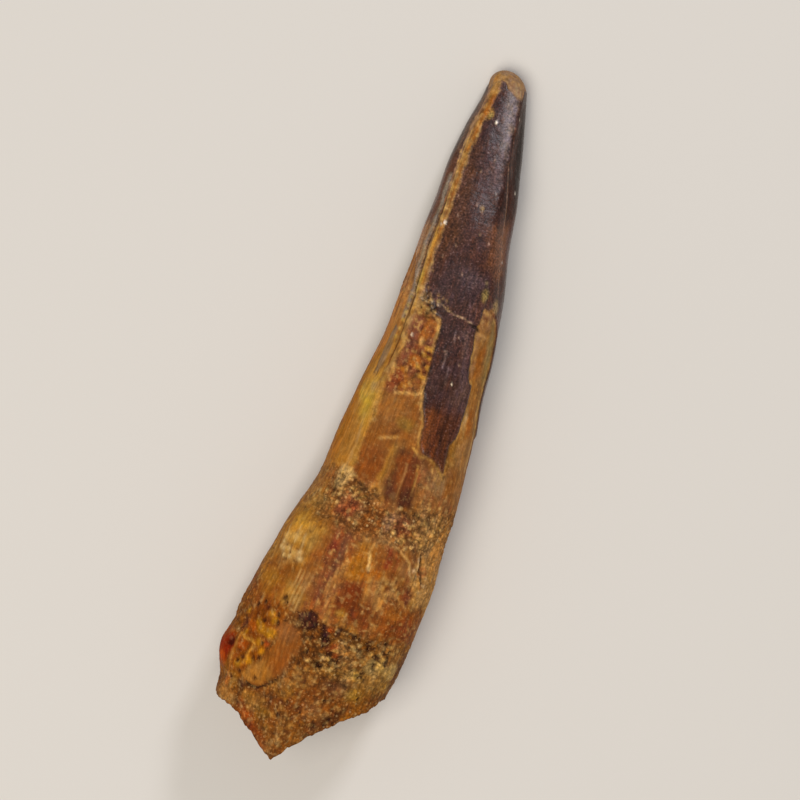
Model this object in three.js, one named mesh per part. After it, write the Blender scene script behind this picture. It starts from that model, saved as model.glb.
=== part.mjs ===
// The fossil tooth of a large fish-eating dinosaur, one natural piece, lying on its side.
//
// Millimetres. +Y runs along the tooth towards its tip, +X across it and +Z up. The origin is at
// the middle of the tooth's box, on the surface that it lies on.
//
// A place on the tooth has two numbers: "along", the distance from the tip, and "round", the
// degrees around the tooth from the line that faces up, positive towards +X. The skin is the grid
// of a sphere drawn out: one pole is the tip, the rings run down the crown and the root to the
// broken rim, and the last rings close the broken end.

import * as THREE from "three";
import { ImprovedNoise } from "three/addons/math/ImprovedNoise.js";

// ---- Driving dimensions ----

const LENGTH = 71.8; // the tip to the lowest corner of the broken rim
const MEAN_RIM_ALONG = 68; // where the rings stop before the rim's shape pulls them

const MERIDIANS = 72; // lines that run from the tip to the broken end
const SIDE_RINGS = 52; // rings from the tip to the rim
const END_RINGS = 6; // rings across the broken end

// The outline from above: along, left edge, right edge.
const OUTLINE = [
  [0, -2.8, 0.95],
  [2.5, -2.72, 1.65],
  [6.5, -3.4, 2.72],
  [16, -3.9, 4.8],
  [26, -4.1, 6.7],
  [36, -5.1, 7.97],
  [43, -5.65, 8.75],
  [51, -7.4, 9.1],
  [58, -8.5, 8.95],
  [64, -8.5, 8.2],
  [72, -7.2, 7.0],
];

// The profile from the side: along, half of the depth, and the underside's height. The tooth
// bows off the surface in the middle, and is worn flat where the curve dips below it.
const PROFILE = [
  [0, 1.6, -0.25],
  [6.5, 2.6, -0.1],
  [16, 3.65, 0.35],
  [26, 4.5, 0.55],
  [36, 5.3, 0.45],
  [43, 5.8, 0.15],
  [51, 6.4, -0.35],
  [58, 6.7, -0.5],
  [64, 6.45, -0.4],
  [72, 5.5, 0.6],
];

const SECTION_POWER = 2.25; // 2 is an ellipse, and more is squarer
const TIP_RADIUS = 1.5; // the worn tip's rounding

// The broken rim, seen from above and on the underside: across, along.
const RIM_ABOVE = [
  [-8.6, 66.9],
  [-7.5, 67.3],
  [-5.9, 68.4],
  [-0.6, 71.8],
  [2.8, 67.4],
  [7.9, 63.0],
  [8.6, 62.6],
];
const RIM_BELOW = [
  [-8.0, 66.6],
  [-4.5, 64.6],
  [-1.5, 66.2],
  [3.0, 64.9],
  [8.0, 62.6],
];
const RIM_ROUGHNESS = 0.35;
const RIM_GRAIN = 1.1;
const RIM_PULL = 22; // the length over which the rings lean towards the rim's shape

// The broken end: a rough face that leans across the tooth, and above its middle slopes out to
// the corner of the rim.
const END_CENTRE = new THREE.Vector3(0.2, 65.2, 6.2); // across, along, up
const END_LEAN = -0.3; // mm along for each mm across
const END_SLOPE_HEIGHT = 5.5; // from the middle up to the rim
const END_LIP = 0.6; // how far the face stays inside the rim's corner
const END_LIP_SHARE = 0.5; // the share of the way to the middle over which the lip sinks in
const END_ROUGHNESS = 0.9;
const END_GRAIN = 3;

// The two cutting edges: narrow ridges that fade out on the root.
const CUTTING_EDGES = [-40, 143];
const CUTTING_EDGE_HEIGHT = 0.24;
const CUTTING_EDGE_HALF_WIDTH = 0.42;
const CUTTING_EDGE_FADE = [36, 42]; // along

// A blunt corner beside the right-hand face of the crown, and the flat beyond it.
const CORNER_ROUND = 33;
const CORNER_HEIGHT = 0.16;
const CORNER_HALF_WIDTH = 0.8;
const FLAT_ROUND = 58;
const FLAT_DEPTH = 0.16;
const FLAT_HALF_WIDTH = 1.2;
const CORNER_FADE = [16, 24]; // along

// Where the enamel ends: round, along. Below this ledge the dentine lies bare.
const ENAMEL_THICKNESS = 0.22;
const ENAMEL_LEDGE = 0.6; // the length over which the ledge drops
const ENAMEL_EDGE = [
  [-180, 31],
  [-150, 34],
  [-128, 30.5],
  [-100, 24],
  [-78, 20.5],
  [-62, 31.5],
  [-48, 30],
  [-38, 25.6],
  [-8, 25.7],
  [-1, 30.5],
  [5, 34.5],
  [12, 38],
  [34, 39.2],
  [41, 39],
  [48, 34],
  [55, 25],
  [75, 23.4],
  [100, 27],
  [122, 36.5],
  [148, 37.5],
  [168, 28],
  [180, 31],
];

// Lumps and hollows: [round, along, half-width, half-length, height].
const LUMPS = [
  [-78, 62.7, 2.3, 2.0, 0.75], // the red lump on the left edge
  [-74, 65.6, 1.6, 0.6, -0.4], // the notch below it
  [-66, 67.4, 1.3, 0.8, 0.3], // the grey lump on the rim
  [-20, 29.0, 2.1, 3.4, -0.3], // bare, lumpy dentine beside the cutting edge
  [-18, 27.0, 0.9, 0.9, 0.22],
  [-27, 29.6, 0.9, 1.3, 0.2],
  [-52, 50.2, 3.4, 2.8, 0.35], // the cream swelling on the left
  [25, 49.9, 2.4, 2.0, 0.22], // the oval plate
  [51, 49.6, 0.6, 1.8, -0.45], // the crack to the right of it
  [-12, 43.6, 2.4, 0.5, -0.22], // the broken step above the sandy band
  [-20, 62.0, 2.0, 3.6, 0.2], // the smooth tongue of root surface
  [-14, 57.8, 1.0, 0.9, -0.5], // pits
  [5, 58.5, 0.8, 1.1, -0.4],
  [-63, 60.2, 0.7, 0.6, -0.35],
  [24, 62.2, 0.7, 0.7, -0.3],
  [8, 67.3, 2.2, 1.2, -0.25],
  [52, 60.0, 2.4, 2.0, 0.25], // sandstone that still clings to the root
  [150, 52.0, 3.2, 3.4, 0.3], // the underside
  [-150, 46.0, 2.6, 2.4, 0.25],
  [118, 60.5, 3.0, 2.6, 0.3],
  [-118, 56.5, 2.4, 2.2, -0.35],
  [128, 44.0, 1.6, 1.0, -0.35],
  [-160, 31.5, 2.0, 2.6, -0.25],
];

// Sandstone grains: [first along, last along], and the height of the grains.
const CRUST_BANDS = [
  [43, 48.5],
  [57, 80],
];
const CRUST_ROUGHNESS = 0.17;
const CRUST_GRAIN = 1.3;
const CRUST_EDGE = 1.2; // the width over which a band fades out
const BARE_SHARE = 0.25; // how much of the grain the bare root still has
const BARE_ROOT = [34, 44]; // where that begins, along

// Long, shallow waves in the surface: [height, per mm along, per turn, phase].
const SWELL = [
  [0.07, 0.45, 2, 0.0],
  [0.05, 0.83, -3, 1.3],
];
const SWELL_START = [4, 14]; // along

const TIP_PACKING = 0.06; // packs the rings closer at the tip
const NOISE_LAYER = 7.3; // a slice of the noise away from its zeros

const COLOUR = 0x7c4c28;
const ROUGHNESS = 0.68;

// ---- Curves ----

const noise = new ImprovedNoise();
const { degToRad, lerp, smoothstep } = THREE.MathUtils;

// The slope of a smooth curve at one of its stations, from the stations on either side.
function slopeAt(stations, i, column) {
  const step = (j) => stations[j + 1][0] - stations[j][0];
  const slope = (j) => (stations[j + 1][column] - stations[j][column]) / step(j);
  if (i === 0) return slope(0);
  if (i === stations.length - 1) return slope(i - 1);
  return (step(i - 1) * slope(i) + step(i) * slope(i - 1)) / (step(i - 1) + step(i));
}

// A smooth curve through the stations, read at a place along them.
function smoothCurve(stations, place, column) {
  const last = stations.length - 1;
  const clamped = THREE.MathUtils.clamp(place, stations[0][0], stations[last][0]);
  let i = 0;
  while (i < last - 1 && clamped > stations[i + 1][0]) i += 1;
  const span = stations[i + 1][0] - stations[i][0];
  const s = (clamped - stations[i][0]) / span;
  const [v0, v1] = [stations[i][column], stations[i + 1][column]];
  const [m0, m1] = [slopeAt(stations, i, column), slopeAt(stations, i + 1, column)];
  return (
    (2 * s ** 3 - 3 * s ** 2 + 1) * v0 +
    (s ** 3 - 2 * s ** 2 + s) * span * m0 +
    (3 * s ** 2 - 2 * s ** 3) * v1 +
    (s ** 3 - s ** 2) * span * m1
  );
}

// Straight lines between the stations, read at a place along them.
function brokenLine(stations, place) {
  const last = stations.length - 1;
  if (place <= stations[0][0]) return stations[0][1];
  if (place >= stations[last][0]) return stations[last][1];
  let i = 0;
  while (place > stations[i + 1][0]) i += 1;
  const s = (place - stations[i][0]) / (stations[i + 1][0] - stations[i][0]);
  return lerp(stations[i][1], stations[i + 1][1], s);
}

// ---- The plain form ----

// The rounding of the worn tip: 0 at the very tip and 1 from one radius on.
function tipRounding(along) {
  const rest = 1 - Math.min(along / TIP_RADIUS, 1);
  return Math.sqrt(1 - rest ** 2);
}

// The section at a distance from the tip: its centre and its two half-widths.
function sectionAt(along) {
  const left = smoothCurve(OUTLINE, along, 1);
  const right = smoothCurve(OUTLINE, along, 2);
  const halfDepth = smoothCurve(PROFILE, along, 1);
  return {
    across: (left + right) / 2,
    up: halfDepth + smoothCurve(PROFILE, along, 2),
    halfWidth: ((right - left) / 2) * tipRounding(along),
    halfDepth: halfDepth * tipRounding(along),
  };
}

// A point of the plain skin, and the direction in which the skin faces there, across the tooth.
function skinAt(along, round) {
  const section = sectionAt(along);
  const sine = Math.sin(degToRad(round));
  const cosine = Math.cos(degToRad(round));
  const depth = (1 - Math.abs(sine) ** SECTION_POWER) ** (1 / SECTION_POWER);
  const x = section.halfWidth * sine;
  const z = section.halfDepth * depth * Math.sign(cosine);
  const facing = new THREE.Vector3(
    (Math.sign(sine) * Math.abs(sine) ** (SECTION_POWER - 1)) / Math.max(section.halfWidth, 0.01),
    0,
    (Math.sign(cosine) * depth ** (SECTION_POWER - 1)) / Math.max(section.halfDepth, 0.01),
  ).normalize();
  const point = new THREE.Vector3(section.across + x, LENGTH / 2 - along, section.up + z);
  return { point, facing };
}

// How far along the tooth the broken rim lies, on the meridian at this angle.
function rimAlong(round) {
  const { point } = skinAt(MEAN_RIM_ALONG - 2, round);
  const above = smoothstep(Math.cos(degToRad(round)), -0.55, 0.05); // 1 on the upper side
  const ragged = RIM_ROUGHNESS * noise.noise(point.x / RIM_GRAIN, point.z / RIM_GRAIN, NOISE_LAYER);
  return lerp(brokenLine(RIM_BELOW, point.x), brokenLine(RIM_ABOVE, point.x), above) + ragged;
}

// ---- The relief ----

// The distance in millimetres, around the skin, from one angle to another.
function arc(round, from, halfWidth) {
  const turn = THREE.MathUtils.euclideanModulo(round - from + 180, 360) - 180;
  return degToRad(turn) * halfWidth;
}

// A rounded bump: 1 in the middle, fading out at its half-width and half-length.
function bump(aside, forward) {
  return Math.exp(-(aside ** 2) - forward ** 2);
}

// 1 inside a band of sandstone grains, fading to the bare root's small share outside it.
function crustAt(along) {
  const inside = CRUST_BANDS.map(
    ([first, last]) =>
      smoothstep(along, first - CRUST_EDGE, first) * (1 - smoothstep(along, last, last + CRUST_EDGE)),
  );
  return Math.max(BARE_SHARE * smoothstep(along, ...BARE_ROOT), ...inside);
}

// The height of the relief over the plain skin.
function reliefAt(along, round, point) {
  const { halfWidth } = sectionAt(along);
  const onCrown = 1 - smoothstep(along, ...CUTTING_EDGE_FADE);
  const edges = CUTTING_EDGES.reduce(
    (sum, edge) => sum + bump(arc(round, edge, halfWidth) / CUTTING_EDGE_HALF_WIDTH, 0),
    0,
  );
  const onFlat = 1 - smoothstep(along, ...CORNER_FADE);
  const corner = CORNER_HEIGHT * bump(arc(round, CORNER_ROUND, halfWidth) / CORNER_HALF_WIDTH, 0);
  const flat = FLAT_DEPTH * bump(arc(round, FLAT_ROUND, halfWidth) / FLAT_HALF_WIDTH, 0);
  const wrapped = THREE.MathUtils.euclideanModulo(round + 180, 360) - 180;
  const aboveEdge = brokenLine(ENAMEL_EDGE, wrapped) - along;
  const enamel = smoothstep(aboveEdge, -ENAMEL_LEDGE / 2, ENAMEL_LEDGE / 2);
  const lumps = LUMPS.reduce(
    (sum, [at, from, halfAcross, halfAlong, height]) =>
      sum + height * bump(arc(round, at, halfWidth) / halfAcross, (along - from) / halfAlong),
    0,
  );
  const swell = SWELL.reduce(
    (sum, [height, perMm, perTurn, phase]) =>
      sum + height * Math.sin(perMm * along + perTurn * degToRad(round) + phase),
    0,
  );
  const grain = noise.noise(point.x / CRUST_GRAIN, point.y / CRUST_GRAIN, point.z / CRUST_GRAIN);
  return (
    CUTTING_EDGE_HEIGHT * edges * onCrown +
    (corner - flat) * onFlat +
    ENAMEL_THICKNESS * (enamel - 1) +
    lumps +
    swell * smoothstep(along, ...SWELL_START) +
    CRUST_ROUGHNESS * crustAt(along) * grain
  );
}

// ---- The tooth ----

// A point of the side, from the tip (share 0) to the broken rim (share 1).
function sidePoint(share, round) {
  const even = (MEAN_RIM_ALONG * (1 + TIP_PACKING) * share ** 2) / (share + TIP_PACKING);
  const pull = smoothstep(even, MEAN_RIM_ALONG - RIM_PULL, MEAN_RIM_ALONG);
  const along = even + pull * (rimAlong(round) - MEAN_RIM_ALONG);
  const { point, facing } = skinAt(along, round);
  return point.addScaledVector(facing, reliefAt(along, round, point) * tipRounding(along));
}

// A point of the broken end, from the rim (share 0) to its middle (share 1).
function endPoint(share, round) {
  const rim = sidePoint(1, round);
  const x = lerp(rim.x, END_CENTRE.x, share);
  const z = lerp(rim.z, END_CENTRE.z, share);
  const flat = END_CENTRE.y + END_LEAN * (x - END_CENTRE.x);
  const height = THREE.MathUtils.clamp((z - END_CENTRE.z) / END_SLOPE_HEIGHT, 0, 1);
  const sloped = lerp(flat, brokenLine(RIM_ABOVE, x) - END_LIP, height);
  const rough = END_ROUGHNESS * noise.noise(x / END_GRAIN, z / END_GRAIN, NOISE_LAYER);
  const face = LENGTH / 2 - (sloped + rough);
  return new THREE.Vector3(x, lerp(rim.y, face, smoothstep(share, 0, END_LIP_SHARE)), z);
}

function makeTooth() {
  const rings = SIDE_RINGS + END_RINGS;
  const geometry = new THREE.SphereGeometry(1, MERIDIANS, rings);
  const { position, uv } = geometry.attributes;
  for (let i = 0; i < position.count; i += 1) {
    const round = uv.getX(i) * 360 - 90;
    const ring = (1 - uv.getY(i)) * rings;
    const point =
      ring <= SIDE_RINGS
        ? sidePoint(ring / SIDE_RINGS, round)
        : endPoint((ring - SIDE_RINGS) / END_RINGS, round);
    point.z = Math.max(point.z, 0); // worn flat where it lies
    position.setXYZ(i, point.x, point.y, point.z);
  }
  geometry.computeBoundingBox();
  const middle = geometry.boundingBox.getCenter(new THREE.Vector3());
  geometry.translate(-middle.x, -middle.y, -geometry.boundingBox.min.z);
  geometry.computeVertexNormals();
  const fossil = new THREE.MeshStandardMaterial({ color: COLOUR, roughness: ROUGHNESS, metalness: 0 });
  const mesh = new THREE.Mesh(geometry, fossil);
  mesh.name = "tooth";
  return mesh;
}

const group = new THREE.Group();
group.add(makeTooth());

export default group;
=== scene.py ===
# %% [markdown]
# # A fossil dinosaur tooth
# The tooth of a large fish-eating dinosaur, about 72 mm long, that lay in sandstone for a hundred
# million years. Its crown is slim and nearly straight, with dark brown enamel and a cutting edge
# down each side. Lower down the enamel has flaked away, so ochre dentine shows, and the root is
# crusted with grains of the sandstone. The tooth is broken off at the root and worn at its tip.
#
# The imported model gives the tooth's frame: millimetres became metres, +Y runs to the tip, +X goes
# across and +Z is up. The imported part is kept, hidden, and the middle of its box centres the tooth at
# the end.

# %% Load the frame
import math

import bmesh
import bpy
import numpy as np
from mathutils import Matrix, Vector, noise


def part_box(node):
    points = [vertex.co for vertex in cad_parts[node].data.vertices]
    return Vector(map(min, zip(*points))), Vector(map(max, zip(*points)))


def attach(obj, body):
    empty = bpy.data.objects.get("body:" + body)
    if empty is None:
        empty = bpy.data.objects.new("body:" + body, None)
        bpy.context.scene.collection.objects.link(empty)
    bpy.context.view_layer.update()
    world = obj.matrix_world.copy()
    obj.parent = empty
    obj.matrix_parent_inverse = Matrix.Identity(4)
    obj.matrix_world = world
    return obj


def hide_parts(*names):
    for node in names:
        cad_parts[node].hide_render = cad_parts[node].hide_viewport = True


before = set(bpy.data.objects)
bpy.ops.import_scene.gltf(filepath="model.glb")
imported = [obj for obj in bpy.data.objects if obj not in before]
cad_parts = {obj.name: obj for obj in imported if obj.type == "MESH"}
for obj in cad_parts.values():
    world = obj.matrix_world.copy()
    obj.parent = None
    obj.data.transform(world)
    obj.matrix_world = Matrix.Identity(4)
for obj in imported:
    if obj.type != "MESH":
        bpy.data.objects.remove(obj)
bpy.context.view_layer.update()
print("frame nodes:", sorted(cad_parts))

# %% [markdown]
# ## The measures
# A place on the tooth has two numbers. "Along" is the distance from the tip in millimetres.
# "Around" is in degrees, from the line that faces up, and is positive towards +X. The outline
# seen from above and the profile seen from the side are short tables of stations, with a smooth
# curve drawn through them, as a sculptor works from a front and a side drawing.

# %% The outline, the profile and the broken rim
LENGTH = 71.8  # the tip to the lowest corner of the broken rim
MEAN_RIM_ALONG = 68.0
OUTLINE = [  # along, left edge, right edge
    (0, -2.8, 0.95),
    (2.5, -2.72, 1.65),
    (6.5, -3.4, 2.72),
    (16, -3.9, 4.8),
    (26, -4.1, 6.7),
    (36, -5.1, 7.97),
    (43, -5.65, 8.75),
    (51, -7.4, 9.1),
    (58, -8.5, 8.95),
    (64, -8.5, 8.2),
    (72, -7.2, 7.0),
]
PROFILE = [  # along, half of the depth, height of the underside
    (0, 1.6, -0.25),
    (6.5, 2.6, -0.1),
    (16, 3.65, 0.35),
    (26, 4.5, 0.55),
    (36, 5.3, 0.45),
    (43, 5.8, 0.15),
    (51, 6.4, -0.35),
    (58, 6.7, -0.5),
    (64, 6.45, -0.4),
    (72, 5.5, 0.6),
]
SECTION_POWER = 2.25  # 2 is an ellipse, and more is squarer
TIP_RADIUS = 1.5
RIM_ABOVE = [  # across, along
    (-8.6, 67.5),
    (-7.6, 67.9),
    (-6.4, 68.3),
    (-4.9, 69.0),
    (-2.5, 70.7),
    (-0.7, 71.8),
    (0.2, 71.1),
    (1.1, 69.8),
    (2.3, 68.6),
    (3.8, 67.1),
    (6.3, 65.0),
    (7.7, 63.1),
    (8.6, 61.4),
]
RIM_BELOW = [(-8.0, 66.6), (-4.5, 64.6), (-1.5, 66.2), (3.0, 64.9), (8.0, 62.6)]
print("length", LENGTH, "mm, widest", max(right - left for _, left, right in OUTLINE), "mm")

# %% Curves through the stations
def smoothstep(value, low, high):
    share = np.clip((value - low) / (high - low), 0, 1)
    return share * share * (3 - 2 * share)


def smooth_curve(stations, place, column):
    at = np.array([station[0] for station in stations], float)
    value = np.array([station[column] for station in stations], float)
    slope = np.gradient(value, at)
    place = np.clip(place, at[0], at[-1])
    i = np.clip(np.searchsorted(at, place) - 1, 0, len(at) - 2)
    span = at[i + 1] - at[i]
    s = (place - at[i]) / span
    return (
        (2 * s**3 - 3 * s**2 + 1) * value[i]
        + (s**3 - 2 * s**2 + s) * span * slope[i]
        + (3 * s**2 - 2 * s**3) * value[i + 1]
        + (s**3 - s**2) * span * slope[i + 1]
    )


def broken_line(stations, place):
    return np.interp(place, [station[0] for station in stations], [station[1] for station in stations])


print("half of the depth at 43 mm:", smooth_curve(PROFILE, 43.0, 1))

# %% The section at any place along the tooth
TINY = 1e-9  # keeps a division by nothing from happening


def tip_rounding(along):
    return np.sqrt(1 - (1 - np.minimum(along / TIP_RADIUS, 1)) ** 2)


def section_at(along):
    left, right = smooth_curve(OUTLINE, along, 1), smooth_curve(OUTLINE, along, 2)
    half_depth = smooth_curve(PROFILE, along, 1)
    up = half_depth + smooth_curve(PROFILE, along, 2)
    rounding = tip_rounding(along)
    return (left + right) / 2, up, (right - left) / 2 * rounding, half_depth * rounding


def skin_at(along, around):
    """A point of the plain skin, and the direction across the tooth in which the skin faces."""
    across, up, half_width, half_depth = section_at(along)
    sine, cosine = np.sin(np.radians(around)), np.cos(np.radians(around))
    depth = np.clip(1 - np.abs(sine) ** SECTION_POWER, 0, 1) ** (1 / SECTION_POWER)
    x = across + half_width * sine
    z = up + half_depth * depth * np.sign(cosine)
    face_x = np.sign(sine) * np.abs(sine) ** (SECTION_POWER - 1) / np.maximum(half_width, 0.01)
    face_z = np.sign(cosine) * depth ** (SECTION_POWER - 1) / np.maximum(half_depth, 0.01)
    length = np.hypot(face_x, face_z) + TINY
    skin = np.stack([x, LENGTH / 2 - along, z], -1)
    return skin, np.stack([face_x / length, 0 * x, face_z / length], -1)


print("widest half-width:", round(float(section_at(np.linspace(0, LENGTH, 200))[2].max()), 2), "mm")

# %% [markdown]
# ## A grid to carve
# The real tooth grew as one piece, so it is one closed skin here too. Sculpting by hand or a
# displaced cone would both do. A UV sphere drawn out into a tooth is the tidiest way, because its
# meridians run from the tip to the broken end as the tooth's own fibres do, and its rings give
# every point an address. Rings crowd at the worn tip, and the last ones close the broken end.

# %% Start from a sphere's grid
MERIDIANS = 240
SIDE_RINGS = 392
END_RINGS = 23
TIP_PACKING = 0.06
grid = bmesh.new()
bmesh.ops.create_uvsphere(grid, u_segments=MERIDIANS, v_segments=SIDE_RINGS + END_RINGS, radius=1)
ball = np.array([vertex.co for vertex in grid.verts])
around = np.degrees(np.arctan2(ball[:, 0], -ball[:, 1]))
from_pole = np.degrees(np.arctan2(np.hypot(ball[:, 0], ball[:, 1]), ball[:, 2]))
ring = from_pole / 180 * (SIDE_RINGS + END_RINGS)
side_share = np.minimum(ring / SIDE_RINGS, 1)
end_share = np.maximum(ring - SIDE_RINGS, 0) / END_RINGS
print("points on the skin:", len(ball))

# %% Give every point its place along the tooth
RIM_ROUGHNESS = 0.3
RIM_GRAIN = 0.9
RIM_LAYER = 7.3
RIM_FRACTAL = (0.6, 2.2, 3)  # what a finer layer keeps, how much finer it is, and how many there are
RIM_PULL = 22.0
JUST_INSIDE = 2.0


def rim_along(around):
    """How far along the broken rim lies. It reaches further on the upper side."""
    skin = skin_at(np.full(len(around), MEAN_RIM_ALONG - JUST_INSIDE), around)[0]
    above = smoothstep(np.cos(np.radians(around)), -0.55, 0.05)
    places = [(x / RIM_GRAIN, RIM_LAYER, z / RIM_GRAIN) for x, _, z in skin]
    ragged = np.array([noise.fractal(place, *RIM_FRACTAL) for place in places])
    lower, upper = broken_line(RIM_BELOW, skin[:, 0]), broken_line(RIM_ABOVE, skin[:, 0])
    return lower + above * (upper - lower) + RIM_ROUGHNESS * ragged


even = MEAN_RIM_ALONG * (1 + TIP_PACKING) * side_share**2 / (side_share + TIP_PACKING)
pull = smoothstep(even, MEAN_RIM_ALONG - RIM_PULL, MEAN_RIM_ALONG)
along = even + pull * (rim_along(around) - MEAN_RIM_ALONG)
plain_skin, facing = skin_at(along, around)
half_width = section_at(along)[2]
print("rim from", round(float(along[side_share == 1].min()), 1), "to", round(float(along.max()), 1), "mm")

# %% [markdown]
# ## The broken end
# The root snapped across its hollow middle. Its wall of dentine is a ring some 2 mm thick, and
# the hollow inside it is packed with sandstone, a little lower than the wall. The last rings of
# the grid shrink to the middle, on a face that leans across the tooth and slopes out to the long
# corner of the rim.

# %% Close the end with a leaning, hollowed face
END_CENTRE = (0.2, 65.2, 6.2)  # across, along, up
END_LEAN = -0.3
END_SLOPE_HEIGHT = 5.5
END_LIP = 0.6
END_BLEND = 0.4  # the share of the way in over which the rim turns into the face
HOLLOW_START, HOLLOW_SLOPE, HOLLOW_DEPTH = 0.34, 0.2, 0.55


def end_face(x, z):
    """How far along the broken face lies."""
    flat = END_CENTRE[1] + END_LEAN * (x - END_CENTRE[0])
    height = np.clip((z - END_CENTRE[2]) / END_SLOPE_HEIGHT, 0, 1)
    return flat + height * (broken_line(RIM_ABOVE, x) - END_LIP - flat)


def close_end(rim):
    """Moves the last rings from the rim in to the middle of the face."""
    x = rim[:, 0] + end_share * (END_CENTRE[0] - rim[:, 0])
    z = rim[:, 2] + end_share * (END_CENTRE[2] - rim[:, 2])
    hollow = HOLLOW_DEPTH * smoothstep(end_share, HOLLOW_START, HOLLOW_START + HOLLOW_SLOPE)
    face_y = LENGTH / 2 - end_face(x, z) + hollow
    y = rim[:, 1] + smoothstep(end_share, 0, END_BLEND) * (face_y - rim[:, 1])
    return np.stack([x, y, z], -1)


plain = close_end(plain_skin)
on_end = end_share > 0
print("points on the broken end:", int(on_end.sum()))

# %% [markdown]
# ## Roughness to draw on
# Nature repeats itself at every size, so the carving and the stains both draw on random fields
# of a few sizes. Perlin noise gives smooth swellings, and Voronoi cells give packed grains. They
# are read at each point's place in space, so nothing stretches or shows a seam.

# %% Random fields over the skin
def rough(size, stretch=1.0, layer=0.0):
    """Smooth random values, about -0.7 to 0.7. Size is the width of a swelling in millimetres."""
    scaled = plain / (size, size * stretch, size) + layer
    return np.array([noise.noise(point) for point in scaled.tolist()])


def packed_grains(size, layer=0.0, gap=0.45):
    """1 in the middle of each grain and 0 in the gaps between them."""
    scaled = (plain / size + layer).tolist()
    near = np.array([noise.voronoi(point)[0][:2] for point in scaled])
    return smoothstep(near[:, 1] - near[:, 0], 0.02, gap)


blotch = rough(3.4, 1.8, 1.7)
cloud = rough(1.5, 1.5, 5.1)
streak = rough(0.5, 9.0, 4.2)
band = rough(1.3, 8.0, 8.8)
lump = rough(1.0, 1.0, 2.6)
pimple = rough(0.42, 1.0, 6.4)
grains = packed_grains(0.85, 3.3)
small_grains = packed_grains(0.5, 9.1)
crumbs = rough(0.55, 1.0, 31.7)
veins = 1 - packed_grains(1.5, 17.9, 0.16)
waver_around = 0.34 * rough(1.2, 1.0, 11.3) + 0.2 * rough(0.45, 1.0, 12.9)
waver_along = 0.34 * rough(1.2, 1.0, 14.1) + 0.2 * rough(0.45, 1.0, 15.7)
print("largest swelling value:", round(float(np.abs(blotch).max()), 2))

# %% [markdown]
# ## Layers and marks
# The skin carries layers, one value for each point: its stain, how far it is raised or sunk, and
# how sandy, enamelled, fibrous or calm it is, where calm means worn smooth. A mark is a shape on
# the skin: an oval, a strip along a line, or a patch with corners. Its edges waver as real flaked
# edges do. Marks are laid over one another from the deepest to the topmost, as the real surface
# built up and wore away.

# %% Layers
stain = np.zeros((len(ball), 3))
relief, sand, enamel, fibre, calm = np.zeros((5, len(ball)))


def linear(colour):
    """The linear red, green and blue of an sRGB hex colour."""
    srgb = np.array([int(colour[i : i + 2], 16) for i in (1, 3, 5)]) / 255
    return np.where(srgb <= 0.04045, srgb / 12.92, ((srgb + 0.055) / 1.055) ** 2.4)


def tint(share, colour):
    stain[:] += np.clip(share, 0, 1)[:, None] * (linear(colour) - stain)


def blend(layer, share, value):
    layer[:] += np.clip(share, 0, 1) * (value - layer)


print("points with a stain:", len(stain))

# %% Shapes on the skin
def arc_from(degrees):
    """Millimetres around the tooth, from a line at this angle to every point."""
    turn = (around - degrees + 180) % 360 - 180
    return np.radians(turn) * half_width


def spot(at, down, half_across, half_along):
    """How far inside an oval every point lies, in millimetres."""
    waver = min(half_across, half_along, 1.0)
    across = (arc_from(at) + waver * waver_around) / half_across
    length = (along - down + waver * waver_along) / half_along
    return (1 - np.hypot(across, length)) * min(half_across, half_along)


def lines_on_map(places, waver):
    """The flat map round the places: every point's two coordinates, and the places' own."""
    middle = sum(at for at, _ in places) / len(places)
    width = section_at(np.array([down for _, down in places], float))[2]
    corners = [(math.radians(at - middle) * w, down) for (at, down), w in zip(places, width)]
    return arc_from(middle) + waver * waver_around, along + waver * waver_along, corners


def distance_to(across, length, start, end):
    run, rise = end[0] - start[0], end[1] - start[1]
    share = ((across - start[0]) * run + (length - start[1]) * rise) / (run * run + rise * rise)
    share = np.clip(share, 0, 1)
    return np.hypot(across - start[0] - share * run, length - start[1] - share * rise)


def strip(half_strip, *places):
    """How far inside a strip along a line every point lies."""
    across, length, corners = lines_on_map(places, min(2 * half_strip, 1.0))
    pieces = zip(corners, corners[1:])
    return half_strip - np.min([distance_to(across, length, *ends) for ends in pieces], 0)


def patch(*places, waver=1.0):
    """How far inside a patch with these corners every point lies."""
    across, length, corners = lines_on_map(places, waver)
    inside = np.zeros(len(across), bool)
    near = np.full(len(across), np.inf)
    for start, end in zip(corners, corners[1:] + corners[:1]):
        near = np.minimum(near, distance_to(across, length, start, end))
        crosses = (start[1] > length) != (end[1] > length)
        rise = end[1] - start[1] if end[1] != start[1] else TINY
        at_line = start[0] + (length - start[1]) / rise * (end[0] - start[0])
        inside ^= crosses & (across < at_line)
    return np.where(inside, near, -near)


print("a test spot covers", int((spot(0, 30, 2, 2) > 0).sum()), "points")

# %% Laying marks on the skin
marks = []  # the colour of every mark, in the order in which they are laid


def lay(mark, colour, strength=0.8, edge=0.4, height=0.0):
    """Stains a mark, and raises or sinks it by a height in millimetres."""
    cover = smoothstep(mark, -edge, edge)
    tint(strength * cover, colour)
    relief[:] += height * cover
    marks.append(colour)


def scatter(places, half_across, half_along, *finish):
    """Lays one kind of oval at many places. A third number at a place is how large it is there."""
    for at, down, *size in places:
        scale = size[0] if size else 1
        lay(spot(at, down, half_across * scale, half_along * scale), *finish)


print("marks laid:", len(marks))

# %% [markdown]
# ## The stains' colours
# Iron in the ground water stained the fossil: ochre, orange and rust where it collected, and
# cream where it leached out. The enamel took up enough to turn a dark purple brown.

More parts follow.
